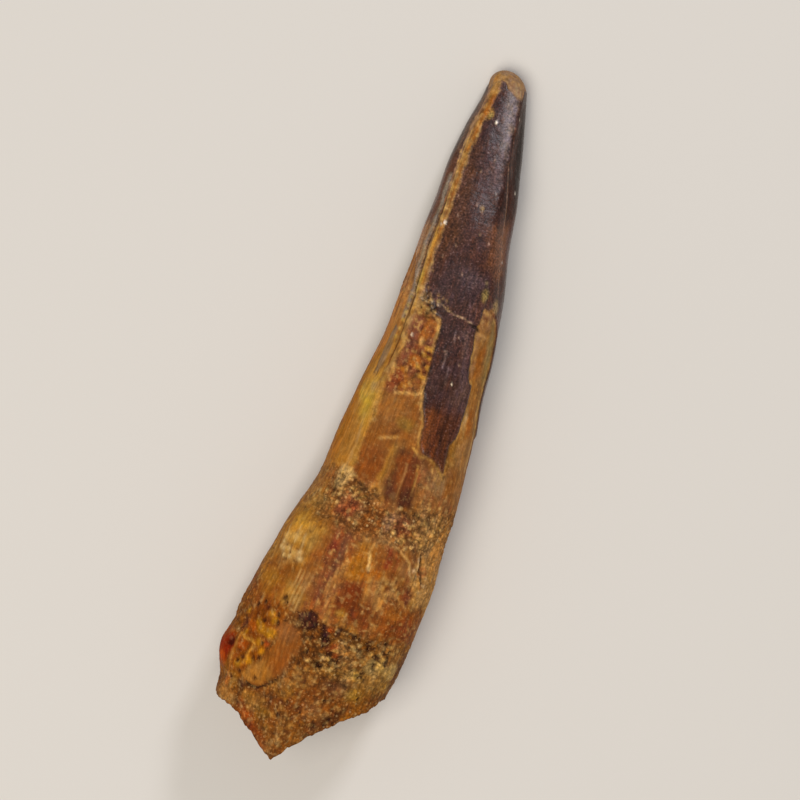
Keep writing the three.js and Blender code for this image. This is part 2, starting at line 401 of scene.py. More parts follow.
# %% Named colours
ENAMEL, ENAMEL_DEEP, ENAMEL_MAUVE, ENAMEL_RED = "#40251e", "#331a13", "#5c403b", "#57301d"
OCHRE, OCHRE_DEEP, ORANGE, OLIVE = "#a06c28", "#90591a", "#a8661c", "#8a6f34"
CREAM, PALE_CREAM, WHITE = "#c49e5c", "#dcc294", "#f0eadc"
TAN, TAN_PALE, TAN_DEEP, GREY_SLIVER = "#9a6c3c", "#ae8656", "#865a33", "#85705c"
RUST, RED_BROWN, RED_DARK = "#84421f", "#7a3a1e", "#3f0f0a"
MAUVE, MAUVE_DARK, PIT, GAP = "#6d4536", "#4c2c24", "#2c120d", "#241209"
print("enamel in linear light:", linear(ENAMEL).round(3))

# %% [markdown]
# ## Dentine and root
# The bare dentine is ochre brown all round, clouded by the stains, with fine fibres and streaks
# along the tooth.

# %% The base stain
tint(np.ones(len(ball)), TAN_DEEP)
tint(0.75 * smoothstep(blotch, -0.25, 0.35), OCHRE)
tint(0.45 * smoothstep(cloud, 0.05, 0.5), TAN_PALE)
tint(0.5 * smoothstep(-cloud, 0.1, 0.5), RUST)
tint(0.35 * smoothstep(streak, 0.05, 0.4), CREAM)
tint(0.4 * smoothstep(-streak, 0.05, 0.4), RED_BROWN)
blend(fibre, smoothstep(along, 24, 28), 0.55)
print("mean stain:", stain.mean(0).round(3))

# %% The yellow field beside the cutting edge
lay(patch((-96, 20), (-60, 24), (-37, 24), (-36, 43), (-96, 43)), "#a57a3a", 0.9, 0.7)
lay(spot(-43, 35.4, 1.2, 2.4), "#b3983f", 0.8, 0.7)
lay(
    patch((-70, 33.6), (-46, 33.8), (-37, 34.6), (-37, 36.2), (-50, 36.1), (-68, 35.2)),
    "#b89f48", 0.75, 0.6,
)
lay(strip(0.25, (-66, 35), (-52, 35.6), (-39, 35.8)), "#c4ad40", 0.6, 0.3)
lay(spot(-56, 34.0, 1.4, 1.8), CREAM, 0.4, 0.8)
lay(spot(-47, 34.2, 0.5, 0.5), "#a08468", 0.5, 0.3)
lay(spot(-72, 39.5, 1.5, 3.6), ORANGE, 0.55, 0.8)
lay(spot(-54, 40.0, 1.3, 2.4), "#a87838", 0.6, 0.8)
lay(strip(0.2, (-44, 37), (-43, 42.5)), PALE_CREAM, 0.22, 0.25)
lay(patch((-100, 23), (-66, 23), (-66, 40), (-100, 42)), "#a36e1a", 0.8, 0.6)
lay(strip(0.1, (-90, 22), (-84, 30), (-80, 36)), MAUVE, 0.6, 0.15)
lay(strip(0.12, (-37, 34), (-36.5, 38), (-38, 43)), TAN_PALE, 0.5, 0.2)
print("marks laid:", len(marks))

# %% The tan plate below the flaked enamel
lay(patch((-36, 33.5), (0, 33), (12, 38), (12, 43), (-35, 43)), "#86572a", 0.9, 0.5)
lay(spot(-24, 35.4, 1.8, 1.4), TAN, 0.6, 0.7)
lay(spot(-4, 36.6, 0.9, 0.6), OLIVE, 0.7, 0.4)
lay(strip(0.1, (-23, 38.7), (-20, 38.6), (-13, 38.3), (-7, 38)), "#cda468", 0.75, 0.15, 0.04)
lay(strip(0.1, (-14, 37.9), (-10, 37.7), (-8, 37.4)), "#4e2c18", 0.75, 0.12, -0.05)
lay(spot(-21, 41.2, 1.6, 2.0), "#80461a", 0.75, 0.7)
lay(strip(0.28, (-7, 39), (-8, 40.8), (-10, 42.4)), "#a8843e", 0.6, 0.35)
lay(spot(-5, 40.0, 0.7, 1.6), "#9a7038", 0.6, 0.5)
lay(patch((-4, 39), (22, 39), (23, 44.3), (-4, 44)), "#582f1e", 0.85, 0.7)
lay(strip(0.5, (5, 40), (6, 43)), "#8b4d1d", 0.7, 0.35)
lay(strip(0.6, (12, 39.6), (14, 42.4)), "#6e3a20", 0.7, 0.5)
lay(strip(0.1, (7, 40.2), (7.5, 43.6)), TAN_PALE, 0.6, 0.12)
lay(strip(0.1, (17, 40), (18.5, 43)), CREAM, 0.6, 0.12)
lay(patch((8, 42.7), (21, 42.5), (21, 44.4), (10, 44.5)), "#44261e", 0.75, 0.5)
lay(patch((-5, 42.4), (5, 42.6), (6, 44.1), (-3, 44)), "#4a2b22", 0.75, 0.5)
print("marks laid:", len(marks))

# %% The tan field to the right
lay(patch((20, 39.5), (86, 36), (92, 43.5), (22, 43.5)), "#855c3a", 0.85, 0.6)
lay(spot(39, 41.0, 1.1, 1.2), "#9c8262", 0.5, 0.6)
lay(spot(55, 41.2, 0.9, 1.3), OCHRE_DEEP, 0.5, 0.5)
lay(spot(76, 41, 2.0, 2.6), "#a87a48", 0.7, 0.8)
lay(
    strip(0.13, (8, 38.6), (16, 39.1), (24, 39.0), (31, 39.5), (38, 40.1), (42, 40.5)),
    CREAM, 0.8, 0.16, 0.05,
)
lay(strip(0.12, (42, 40.4), (43, 40.0)), MAUVE_DARK, 0.8, 0.12)
print("marks laid:", len(marks))

# %% The strip right of the enamel tongue
lay(patch((34, 24.5), (84, 24.0), (92, 38), (40, 39.5)), "#946a38", 0.9, 0.4)
lay(patch((40, 22.6), (62, 22.3), (63, 25.2), (40, 25.3)), "#8f6640", 0.85, 0.4)
lay(strip(0.4, (39, 26), (41, 28), (44, 29.6)), "#8c6c50", 0.75, 0.3)
lay(spot(53, 28.4, 0.9, 1.6), "#93591f", 0.8, 0.4)
lay(spot(68, 27.5, 0.8, 2.2), "#9c8050", 0.75, 0.5)
lay(strip(0.55, (64, 24.5), (68, 27), (71, 30)), "#8f7a48", 0.6, 0.4)
lay(spot(53, 32.2, 0.8, 1.8), "#a0713a", 0.7, 0.5)
lay(spot(53, 34.3, 0.45, 0.7), PALE_CREAM, 0.5, 0.35)
lay(spot(62, 34.5, 0.6, 1.3), "#a0601f", 0.75, 0.45)
lay(spot(45, 37.8, 0.7, 1.2), "#97702f", 0.6, 0.5)
lay(spot(66, 37.6, 1.6, 1.6), "#a67e54", 0.7, 0.7)
lay(spot(73, 33.4, 0.22, 0.5), "#d0ac80", 0.8, 0.15)
lay(strip(0.2, (75, 30), (78, 35), (77, 39)), PALE_CREAM, 0.5, 0.25)
lay(strip(0.3, (84, 25), (87, 33), (88, 42)), MAUVE, 0.6, 0.35)
print("marks laid:", len(marks))

# %% The lumpy window of bare dentine, with painted shade in its hollows and painted highlights on its lumps
window = patch(
    (-37, 25.7), (-8, 25.9), (-3.5, 28), (-2, 30.5), (0, 33), (-12, 33.4), (-20, 34), (-36, 34),
    waver=0.6,
)
lay(window, "#784a2c", 0.95, 0.2)
in_window = smoothstep(window, -0.2, 0.3)
# Painted shade in the hollows between the carved lumps, a darker mauve brown and a deep brown, and
# painted amber highlights on their tops
tint(0.5 * in_window * smoothstep(-lump, 0.1, 0.45), "#6a3e2a")
tint(0.5 * in_window * smoothstep(lump + 0.6 * pimple, 0.2, 0.5), "#c68c3c")
tint(0.65 * in_window * smoothstep(-0.5 * lump - pimple, 0.22, 0.5), "#4f2814")
relief += in_window * (0.22 * lump + 0.14 * pimple)
lay(
    patch((-36, 26.4), (-25, 26.2), (-22, 27.9), (-27, 29.8), (-25, 31), (-35, 31.2)),
    "#774a38", 0.8, 0.3,
)
lay(
    patch((-20, 26.7), (-12, 26.1), (-5, 26), (-5, 27.6), (-13, 27.9), (-19, 29), (-23, 28.4)),
    "#985e24", 0.9, 0.25, 0.14,
)
lay(spot(-11, 27.1, 0.6, 0.5), "#94562a", 0.7, 0.3)
lay(strip(0.1, (-10, 25.95), (-6, 26.3), (-4.5, 27.3)), "#d8ac60", 0.85, 0.1, 0.05)
lay(strip(0.3, (-5, 28.1), (-13, 28.8), (-18, 29.3), (-27, 30)), "#774732", 0.85, 0.22, 0.06)
lay(spot(-18, 28.4, 0.25, 0.4), "#cfa870", 0.8, 0.18, 0.05)
lay(spot(-17, 30.4, 0.7, 0.6), "#a8651c", 0.8, 0.3, 0.06)
scatter(
    [(-10, 28.9), (-4, 28.9), (-11, 29.6), (-5, 29.8), (-2, 30.7), (-12, 30.9), (-7, 31.7), (-3, 31.8)],
    0.3, 0.24, "#b98c3c", 0.85, 0.14, 0.12,
)
scatter(
    [
        (-7, 30.5), (-10, 31.3), (-4, 31.2), (-13, 31.8), (-14, 29.7), (-7, 29.3), (-19, 31.2),
        (-30, 28.6),
    ],
    0.2, 0.17, "#3c170c", 0.85, 0.12, -0.16,
)
lay(patch((-32, 31.5), (-21, 31.7), (-19, 32.6), (-25, 33.4), (-32, 33.7)), "#7c3f22", 0.85, 0.3, 0.08)
lay(strip(0.15, (-27, 31.4), (-21, 31.9), (-18, 32.8), (-22, 33.5)), "#a86a22", 0.8, 0.15, 0.05)
lay(spot(-9, 32.5, 1.1, 0.5), "#96642e", 0.75, 0.35)
lay(strip(0.12, (-24, 34), (-14, 33.7), (-6, 33.6), (0, 33.2), (3, 32.9)), "#d2aa6c", 0.75, 0.14, 0.05)
# Painted shadow under the enamel's ledge, along the window's top edge, in a shallow groove
lay(strip(0.12, (-27, 26), (-19, 26), (-9, 25.85)), "#3a1c10", 0.8, 0.12, -0.12)
print("window points:", int((window > 0).sum()))

# %% [markdown]
# ## The middle of the root
# Below the sandy band the root is smooth and streaked along its fibres. Iron left bright fields
# on it: a cream swelling on the left, an oval plate, and orange and rust between them.

# %% Cream and yellow on the left
lay(patch((-90, 46.5), (-30, 46.8), (-24, 50), (-34, 54.5), (-60, 56.5), (-92, 54)), "#a2742c", 0.85, 0.8)
lay(spot(-43, 47.9, 1.4, 0.6), "#bb871c", 0.85, 0.45)
lay(patch((-60, 48.7), (-46, 48.3), (-38, 49), (-40, 50.6), (-50, 51.5), (-62, 51)), "#ba9048", 0.85, 0.6)
lay(spot(-52, 48.6, 1.3, 0.8), "#c89f44", 0.7, 0.5)
lay(spot(-49, 50.4, 0.7, 0.4), "#c9a868", 0.7, 0.3)
lay(spot(-58, 50.6, 0.8, 0.4), "#cbac74", 0.7, 0.3)
lay(spot(-33, 50, 1.4, 1.4), "#a58448", 0.7, 0.6)
lay(spot(-62, 47.8, 1.2, 0.7), "#94702e", 0.6, 0.5)
lay(
    patch((-62, 51), (-52, 51.2), (-44, 51.6), (-36, 51.8), (-38, 52.9), (-50, 53), (-61, 52.5)),
    "#a4865a", 0.8, 0.5,
)
scatter(
    [
        (-59, 51.3), (-51, 51.8), (-45, 52), (-56, 52), (-40, 51.8), (-47, 52.5), (-38, 52.4),
        (-60, 51.9), (-53, 52.6),
    ],
    0.24, 0.19, "#dcc89c", 0.75, 0.2, 0.06,
)
scratches = [((-62, 49.6), (-58, 51)), ((-50, 49.4), (-48, 51)), ((-42, 50), (-40, 51.4))]
for start, end in [*scratches, ((-55, 52.9), (-52, 53.8))]:
    lay(strip(0.08, start, end), "#d8c090", 0.6, 0.12, 0.03)
scatter(
    [(-54, 51.5), (-48, 52.1), (-43, 51.6), (-50, 52.8), (-57, 52.6), (-42, 52.7)],
    0.17, 0.14, "#5e4026", 0.8, 0.12, -0.08,
)
lay(strip(0.25, (-70, 47.5), (-72, 50.5), (-74, 53)), "#b78c3a", 0.6, 0.4)
lay(strip(0.35, (-84, 45), (-86, 50), (-84, 54)), TAN_PALE, 0.6, 0.4)
lay(spot(-50, 53.9, 2.6, 1.0), "#74421a", 0.75, 0.6)
lay(spot(-57, 54.8, 0.9, 0.7), "#a5762a", 0.7, 0.4)
lay(spot(-68, 56.4, 1.6, 0.8), "#7e4314", 0.7, 0.5)
lay(spot(-52, 56.6, 1.4, 0.6), "#94631c", 0.6, 0.4)
scatter(
    [
        (-46, 48.6), (-40, 49.5), (-50, 50), (-44, 47.7), (-59, 49), (-39, 48.2), (-62, 50.2),
        (-35, 48.8),
    ],
    0.14, 0.14, "#6a4420", 0.75, 0.12, -0.05,
)
print("marks laid:", len(marks))

# %% Streaks down the middle
lay(patch((-30, 46.5), (-5, 46.5), (-6, 57), (-34, 57), (-30, 51)), "#824c20", 0.8, 0.6)
lay(strip(0.6, (-21, 47.8), (-18, 50.4)), "#844228", 0.8, 0.45)
lay(spot(-18, 50.2, 0.5, 0.45), "#722412", 0.8, 0.35, -0.04)
lay(strip(0.3, (-13, 48), (-12, 52), (-13, 55.5)), MAUVE, 0.75, 0.3)
lay(strip(0.2, (-18, 51), (-17, 55)), MAUVE, 0.5, 0.25)
lay(strip(0.13, (-6, 51.2), (-7.5, 52.6), (-9, 54), (-8, 55.3)), "#b88a58", 0.7, 0.16)
lay(patch((-31, 52), (-20, 52), (-20, 57.2), (-37, 57.2)), "#8d6132", 0.75, 0.6)
lay(spot(-31, 56.0, 1.4, 1.2), "#aa8442", 0.75, 0.6)
lay(strip(0.14, (-5, 53), (-5.5, 58)), "#b07a48", 0.6, 0.18)
lay(strip(0.14, (-15, 54.5), (-15, 56.4)), "#7e3c1c", 0.6, 0.18)
# Pale glassy lines: partly cream streaks, partly painted highlights
glassy_streaks_and_highlights = [
    ((-8, 51.4), (-10, 53.4)), ((-10.5, 53), (-10, 54.8)), ((-5, 54), (-6, 56)),
    ((-12, 55.4), (-13, 56.6)), ((-3, 50.4), (-5, 51.8)), ((12, 52.6), (15, 54)),
    ((-27, 56.2), (-28, 57.3)),
]
for start, end in glassy_streaks_and_highlights:
    lay(strip(0.05, start, end), "#d8b078", 0.6, 0.08, 0.03)
for at in (-33, -29.5, -26, -23):
    lay(strip(0.07, (at, 53.4), (at - 1, 57)), PALE_CREAM, 0.45, 0.12)
    lay(strip(0.07, (at + 1.7, 53.4), (at + 0.7, 57)), TAN_DEEP, 0.5, 0.12)
print("marks laid:", len(marks))

# %% The orange field and the oval plate
lay(patch((-4, 48.8), (12, 48.6), (12, 52), (-3, 53)), "#95641e", 0.8, 0.5)
lay(spot(3, 51, 1.1, 1.5), "#a26812", 0.8, 0.5)
lay(strip(0.35, (9, 51.8), (14, 51.3), (19, 51.5)), "#a5620e", 0.85, 0.3)
lay(
    patch((8, 48.3), (24, 48.4), (37, 49.2), (39, 50.4), (30, 51.2), (14, 50.9), (9, 49.8)),
    "#7e4e22", 0.9, 0.25, 0.05,
)
lay(strip(0.3, (17, 48.6), (21, 49.2), (22, 50.2)), "#823418", 0.85, 0.22)
lay(strip(0.2, (24, 48.7), (28, 49.5), (28, 50.4)), "#8c4722", 0.8, 0.2)
lay(spot(34, 50, 0.8, 0.8), "#9c7048", 0.7, 0.4)
lay(
    strip(0.12, (8, 48.2), (15, 48), (24, 48.25), (31, 48.8), (37, 49.2), (41, 50.2)),
    "#ccaa7c", 0.85, 0.15, 0.06,
)
lay(strip(0.11, (38, 50.9), (30, 51.4), (22, 51.5)), "#b68e58", 0.6, 0.13)
lay(strip(0.11, (6, 49.5), (8, 50.1), (9.5, 50.8), (10.5, 51.3)), "#eccf9c", 0.95, 0.1, 0.05)
lay(strip(0.1, (8, 48.3), (6.5, 48.9), (6, 49.6)), "#c8a070", 0.8, 0.12, 0.04)
lay(strip(0.09, (4, 49.7), (4.5, 51)), "#c48a3c", 0.8, 0.1)
lay(strip(0.16, (10, 51.6), (13, 52.7), (14, 54)), "#b07428", 0.6, 0.2)
lay(patch((-2, 52.8), (14, 52.6), (16, 55.2), (0, 55.6)), "#6e2e02", 0.85, 0.6)
lay(spot(6, 53.4, 1.0, 0.8), "#6a2e0a", 0.7, 0.5)
lay(spot(9, 55.8, 1.6, 1.0), "#6a3406", 0.75, 0.5)
lay(spot(5, 56.1, 0.5, 0.5), "#9c7c34", 0.7, 0.3)
lay(spot(20, 55.4, 1.7, 1.5), "#642e06", 0.75, 0.6)
lay(patch((18, 51.6), (42, 51), (46, 53.8), (20, 54)), "#7e5026", 0.75, 0.6)
scatter(
    [(23, 51.5), (26, 51.8), (25, 52.4), (31, 51.7), (34, 52.2), (29, 52.9), (38, 52.4), (22, 52.9)],
    0.2, 0.22, "#d0aa70", 0.75, 0.16, 0.05,
)
scatter(
    [(28, 52.3), (33, 51.4), (24, 53.2), (36, 53), (20, 52.2)],
    0.17, 0.17, "#5c2c14", 0.75, 0.14, -0.06,
)
print("marks laid:", len(marks))

# %% Pale veins where the root is finely cracked
VEIN_HEIGHT = 0.04
veined = smoothstep(patch((16, 51.4), (84, 50.5), (84, 56.8), (24, 56.8)), -0.4, 0.8)
veined_left = smoothstep(patch((-60, 52), (-36, 51.6), (-36, 54), (-60, 54.5)), -0.3, 0.5)
veined = np.maximum(veined, 0.7 * veined_left)
tint(0.45 * veined * veins, "#cda268")
relief += VEIN_HEIGHT * veined * veins
print("veined points:", int((veined > 0.5).sum()))

# %% The right side of the root
lay(patch((42, 44), (95, 44), (95, 53.5), (56, 53.5), (46, 51)), "#cfa46a", 0.85, 0.7)
lay(spot(48, 52.3, 0.7, 0.7), "#7a3f30", 0.7, 0.4)
lay(spot(48.5, 53, 0.25, 0.25), RED_DARK, 0.6, 0.2)
lay(patch((32, 53.8), (78, 53.4), (80, 57), (30, 57)), "#80450f", 0.85, 0.6)
lay(spot(42, 54.5, 1.3, 0.7), "#9a6428", 0.7, 0.5)
lay(spot(57, 55.5, 1.4, 0.9), "#7c3f20", 0.7, 0.5)
lay(spot(70, 54.4, 1.0, 1.4), "#96602e", 0.7, 0.5)
lay(spot(56, 50, 0.4, 0.3), "#8c4a2c", 0.6, 0.25)
lay(strip(0.14, (58, 55), (62, 55.8), (66, 55.4)), TAN_PALE, 0.5, 0.18)
print("marks laid:", len(marks))

# %% [markdown]
# ## Sandstone crust
# Grains of the sandstone that the tooth lay in still cling to it, in a band round the root's
# neck and all over its broken end. They are quartz grains of 0.3 to 0.9 mm, set in iron-brown
# cement with dark gaps. The larger ones get carved, and the material adds the fine ones.

# %% Where the sand clings
NECK_TOP = [  # around, along
    (-180, 43.2), (-50, 42.7), (-34, 43), (-8, 43.9), (0, 44.7), (22, 44.7), (30, 43.5), (180, 43.2),
]
neck = smoothstep(along + 0.8 * waver_along - broken_line(NECK_TOP, around), -0.4, 0.4)
neck *= 1 - smoothstep(along + waver_along, 47.6, 49.2)
front_left = smoothstep(arc_from(-48) + waver_around, -1.2, 0.6)
THIN_CRUST, UNDERSIDE_CRUST = 0.25, 0.75
crust_above = THIN_CRUST + (1 - THIN_CRUST) * front_left
neck *= np.where(np.abs(around) < 90, crust_above, UNDERSIDE_CRUST)
blend(sand, neck, 1.0)
broken_part = along + 1.6 * waver_along + 0.6 * cloud
sandy_places = [  # the mark, where it begins, where it is full, how sandy it is
    (spot(66, 50.5, 3.2, 4.0), -0.6, 0.8, 0.6),
    (spot(-76, 54.5, 1.8, 3.2), -0.6, 0.6, 0.35),
    (spot(31, 52.3, 1.6, 1.2), -0.4, 0.4, 0.35),
    (broken_part, 56.6, 57.8, 0.55),
    (spot(12, 60, 5, 2.8), -0.6, 1, 1.0),
    (spot(40, 59, 2.6, 2.2), -0.5, 1, 0.85),
    (patch((-62, 57), (-26, 57), (-30, 61), (-38, 65.5), (-62, 65)), -0.5, 0.5, 0.2),
    (spot(-76, 63, 2.2, 2.0), -0.4, 0.3, 0.12),
]
for mark, begins, full, amount in sandy_places:
    blend(sand, smoothstep(mark, begins, full), amount)
tongue = patch(
    (-30, 58.7), (-20, 58.9), (-13, 59.4), (-9, 60.2), (-10, 61), (-13, 62), (-14, 62.9), (-16, 63.6),
    (-20, 64.3), (-26, 65.2), (-30, 65.6), (-36, 65.6), (-42, 65.2), (-45, 64.8), (-40, 63.9),
    (-33, 62.9), (-30, 62), (-27, 60.9), (-27, 59.8), waver=0.3,
)
blend(sand, smoothstep(tongue, -0.25, 0.15), 0.0)
print("sandy points:", int((sand > 0.5).sum()))

# %% The neck band's stains
in_neck = neck * smoothstep(arc_from(0), -20, -19)
tint(0.8 * in_neck, "#8d623a")
lay(
    patch((-48, 42.4), (-35, 42.3), (-31, 42.9), (-35, 43.8), (-37, 44.8), (-47, 44.6)),
    "#ccae7c", 0.8, 0.25, 0.06,
)
lay(patch((-31, 44.8), (-18, 44.8), (-14, 45.8), (-19, 47.2), (-32, 47)), "#9c5036", 0.85, 0.4)
lay(patch((-12, 44.9), (8, 44.9), (9, 47.4), (-10, 47.9)), "#865121", 0.8, 0.4)
lay(spot(11, 46.1, 0.8, 0.9), "#9c7c68", 0.8, 0.35)
lay(spot(21, 46.2, 0.9, 1.1), "#7a4230", 0.75, 0.4)
lay(patch((28, 44.2), (60, 44), (64, 47.6), (34, 47.8)), "#a5825c", 0.6, 0.7)
lay(spot(52, 46.2, 1.9, 2.0), "#b08a5c", 0.75, 0.7)
lay(spot(72, 46.8, 2.0, 2.6), "#d29c5c", 0.8, 0.8)
lay(spot(-55, 46.4, 1.8, 1.0), "#a07e44", 0.7, 0.5)
lay(spot(-72, 44.6, 1.6, 2.0), "#9c7440", 0.65, 0.6)
pale_crumbs = [
    (14, 44.5), (29, 45.7), (43, 45.8), (38, 43.7), (49, 43.2), (29, 48.1), (34, 47.8), (36, 45.2),
    (-41, 45.4), (-36, 45.2), (-34, 46), (-18, 47.1), (-12, 47.3), (-24, 44.9), (46, 44.6), (6, 45.3),
    (-28, 44.2), (52, 45.6), (33, 46.4), (40, 45.2), (45, 46.6), (55, 46.9), (50, 45.9), (30, 44.6),
    (26, 45.9), (42, 47.4), (22, 45.8), (63, 46.4), (-44, 43), (-37, 42.7), (-46, 44.2), (-39, 44.2),
    (24, 47.3), (16, 46.9), (-50, 45.2), (-58, 45.4), (60, 45.2),
]
scatter(pale_crumbs, 0.2, 0.17, "#dfc08a", 0.8, 0.13, 0.1)
long_grains = [(40, 46.5), (38, 46.9), (-32, 43), (-42, 44), (-21, 44.4), (-15, 44.5), (-25, 44.1)]
for at, down in [*long_grains, (-18, 44.8)]:
    lay(strip(0.09, (at, down), (at - 3, down + 0.3)), "#d2b070", 0.8, 0.12, 0.08)
gaps = [
    (-29, 43.4), (-24, 43.5), (-17, 43.8), (-10, 43.6), (-7, 44.1), (-12, 44.6), (-26, 44.6), (-19, 44),
    (-11, 45), (-8, 45.9), (-12, 46.6), (-16, 46.6), (-26, 46.5), (18, 44.8), (23, 45.1), (27, 44.6),
    (32, 44.7), (35, 45.5), (56, 44.5), (57, 44.9), (19, 46.5), (-34, 43.8), (-40, 43.4), (-43, 44.9),
    (47, 45.4), (42, 44.4), (-36, 46.8),
]
scatter(gaps, 0.2, 0.15, GAP, 0.7, 0.12, -0.15)
print("mean stain of the neck band:", stain[in_neck > 0.1].mean(0).round(3))

# %% The sandy end of the root
lower = smoothstep(broken_part, 56.8, 57.8)
tint(0.85 * lower, "#7d501a")
tint(0.5 * lower * smoothstep(blotch, 0.0, 0.4), "#986820")
tint(0.4 * lower * smoothstep(-blotch, 0.05, 0.4), "#6c3f0c")
lay(patch((40, 57.5), (72, 57.5), (76, 61.5), (46, 62)), "#9a7448", 0.6, 0.8)
lay(spot(45, 59.9, 1.4, 1.0), "#c9b280", 0.85, 0.4, 0.12)
lay(spot(63, 60.1, 1.4, 0.9), "#cdb584", 0.85, 0.4, 0.1)
lay(spot(69, 61.6, 0.9, 0.5), "#bfa468", 0.7, 0.4, 0.06)
lay(spot(33, 61.4, 0.9, 0.5), "#bda264", 0.8, 0.3, 0.08)
lay(spot(38, 63.1, 0.8, 0.5), "#a8904e", 0.7, 0.4, 0.08)
lay(spot(53, 61.6, 2.6, 1.0), "#a5844a", 0.7, 0.7)
lay(spot(17, 61.6, 1.8, 0.7), "#94723a", 0.7, 0.5)
lay(spot(31, 61.4, 0.7, 0.35), "#cdb57e", 0.8, 0.25, 0.08)
lay(spot(39, 63.2, 1.2, 0.6), "#9c7e3a", 0.7, 0.5)
lay(spot(24, 63, 1.3, 0.8), "#664640", 0.55, 0.5)
lay(patch((-14, 64.5), (10, 63.8), (18, 65.6), (10, 67.4), (-10, 67)), "#7d4a18", 0.7, 0.7)
lay(strip(0.45, (40, 64.8), (31, 66), (20, 67.2), (14, 68.6)), "#5a3620", 0.7, 0.4, -0.06)
lay(spot(-9, 68.8, 2.6, 1.8), "#885a1a", 0.65, 0.8)
lay(spot(-30, 67, 1.4, 0.8), "#9c7636", 0.6, 0.5)
lay(spot(-8, 65, 1.2, 0.7), "#a8803c", 0.6, 0.5)
lay(strip(0.5, (-40, 67.8), (-32, 68.5), (-24, 69.6), (-14, 70.6)), "#9e4e10", 0.8, 0.4)
lay(spot(-28, 69.2, 0.6, 0.35), "#702c12", 0.7, 0.3)
lay(spot(-20, 67.8, 0.8, 0.6), "#9c8234", 0.5, 0.4)
lay(spot(-6, 71.4, 0.5, 0.4), "#57371c", 0.7, 0.3)
print("marks laid:", len(marks))

# %% Iron-stained ochre and the red lump on the left
lay(
    patch((-66, 57), (-31, 57), (-28, 59), (-31, 61.4), (-37, 63.4), (-46, 65.2), (-60, 65)),
    "#884e02", 0.92, 0.4,
)
lay(spot(-54, 58.2, 1.5, 0.7), "#7f480c", 0.75, 0.4)
scatter(
    [
        (-46, 57.9), (-51, 58.9), (-51, 62.1), (-58, 57.4), (-36, 60.9), (-47, 60.7), (-38, 59.2),
        (-56, 62.6),
    ],
    0.5, 0.4, "#7c4002", 0.8, 0.25,
)
yellows = [
    (-33, 58.9, 0.5), (-42, 60, 0.55), (-31, 60.2, 0.6), (-39, 61.4, 0.45), (-35, 62.2, 0.35),
    (-42, 63.4, 0.5), (-52, 64, 0.5), (-38, 58.3, 0.35), (-46, 59.5, 0.4), (-36, 60.2, 0.4),
    (-56, 60.9, 0.3), (-62, 58.8, 0.4),
]
scatter(yellows, 1, 0.8, "#c4921a", 0.8, 0.25, 0.04)
lay(spot(-51, 60.1, 0.9, 0.5), "#b05e04", 0.8, 0.3)
lay(spot(-53, 62.2, 0.7, 0.5), "#ac5404", 0.8, 0.3)
lay(
    strip(0.13, (-60, 61.2), (-53, 61.5), (-46, 61.5), (-42, 61.8), (-45, 62.6), (-47, 63.8)),
    "#d8a850", 0.75, 0.15, 0.05,
)
lay(patch((-90, 56.6), (-64, 56.8), (-62, 61), (-90, 61)), "#8c560c", 0.8, 0.5)
lay(strip(0.2, (-84, 56.5), (-86, 58.5), (-84, 60.4)), "#b0803c", 0.7, 0.25)
lay(spot(-64, 60.2, 0.4, 0.5), "#53303a", 0.75, 0.25, -0.05)
lay(spot(-56, 65.8, 1.6, 0.8), "#96702e", 0.7, 0.5)
lay(spot(-61, 65.9, 0.5, 0.7), "#b8681c", 0.8, 0.3, 0.1)
lay(spot(-44, 65.7, 0.5, 0.3), "#4e3438", 0.75, 0.25, -0.06)
lay(spot(-76, 62.8, 2.2, 2.0), "#8a3e06", 0.9, 0.3)
lay(spot(-70, 62.9, 1.1, 1.35), "#862400", 0.9, 0.35)
lay(spot(-73, 63.9, 0.6, 0.5), "#c86008", 0.8, 0.3)
lay(spot(-66, 62.3, 0.45, 0.5), "#2e0c0c", 0.9, 0.2, -0.12)
lay(spot(-68, 62.0, 0.16, 0.14), "#9a6a60", 0.7, 0.1, 0.05)
lay(strip(0.2, (-80, 61), (-84, 62.6), (-82, 64.4)), "#b46420", 0.7, 0.2)
# Painted highlight: a pale glint on the red lump
lay(spot(-71, 61.2, 0.3, 0.2), "#d09058", 0.6, 0.16, 0.04)
lay(strip(0.12, (-60, 61.3), (-60, 64.6)), "#c08a4a", 0.7, 0.15, 0.05)
lay(spot(-62, 67.3, 1.2, 0.7), "#b89068", 0.75, 0.35)
lay(spot(-50, 67.6, 0.8, 0.6), "#a8825a", 0.75, 0.35)
lay(spot(-43, 67.7, 0.5, 0.3), MAUVE_DARK, 0.75, 0.2, -0.14)
print("marks laid:", len(marks))

# %% The smooth tongue of root surface, its crack, and painted shadow and highlight along them
# Painted shadow: a dark band just outside the raised tongue's edge
around_tongue = np.exp(-(((tongue + 0.2) / 0.14) ** 2))
tint(0.45 * around_tongue * smoothstep(arc_from(-22), -8, 3), "#4a2610")
tint(0.3 * around_tongue * smoothstep(-arc_from(-28), 0, 1), "#5c300a")
lay(tongue, "#855426", 0.95, 0.1, 0.12)
lay(
    patch((-46, 64.9), (-41, 64), (-33, 63), (-27, 62.8), (-23, 64.5), (-30, 65.4), (-38, 65.5)),
    "#a67c46", 0.85, 0.35,
)
lay(spot(-26, 64.2, 0.8, 0.5), "#9c6e38", 0.6, 0.4)
lay(spot(-18, 62.2, 0.8, 1.5), "#8e5420", 0.6, 0.45)
lay(spot(-23, 59.6, 1.2, 0.8), "#956642", 0.75, 0.4)
for at in (-24, -21, -18):
    lay(strip(0.06, (at, 60.4), (at - 2, 62), (at - 5, 63.6)), "#b08450", 0.3, 0.1)
    lay(strip(0.06, (at + 1.4, 60.4), (at - 0.6, 62), (at - 3.6, 63.6)), "#6a3c14", 0.25, 0.1)
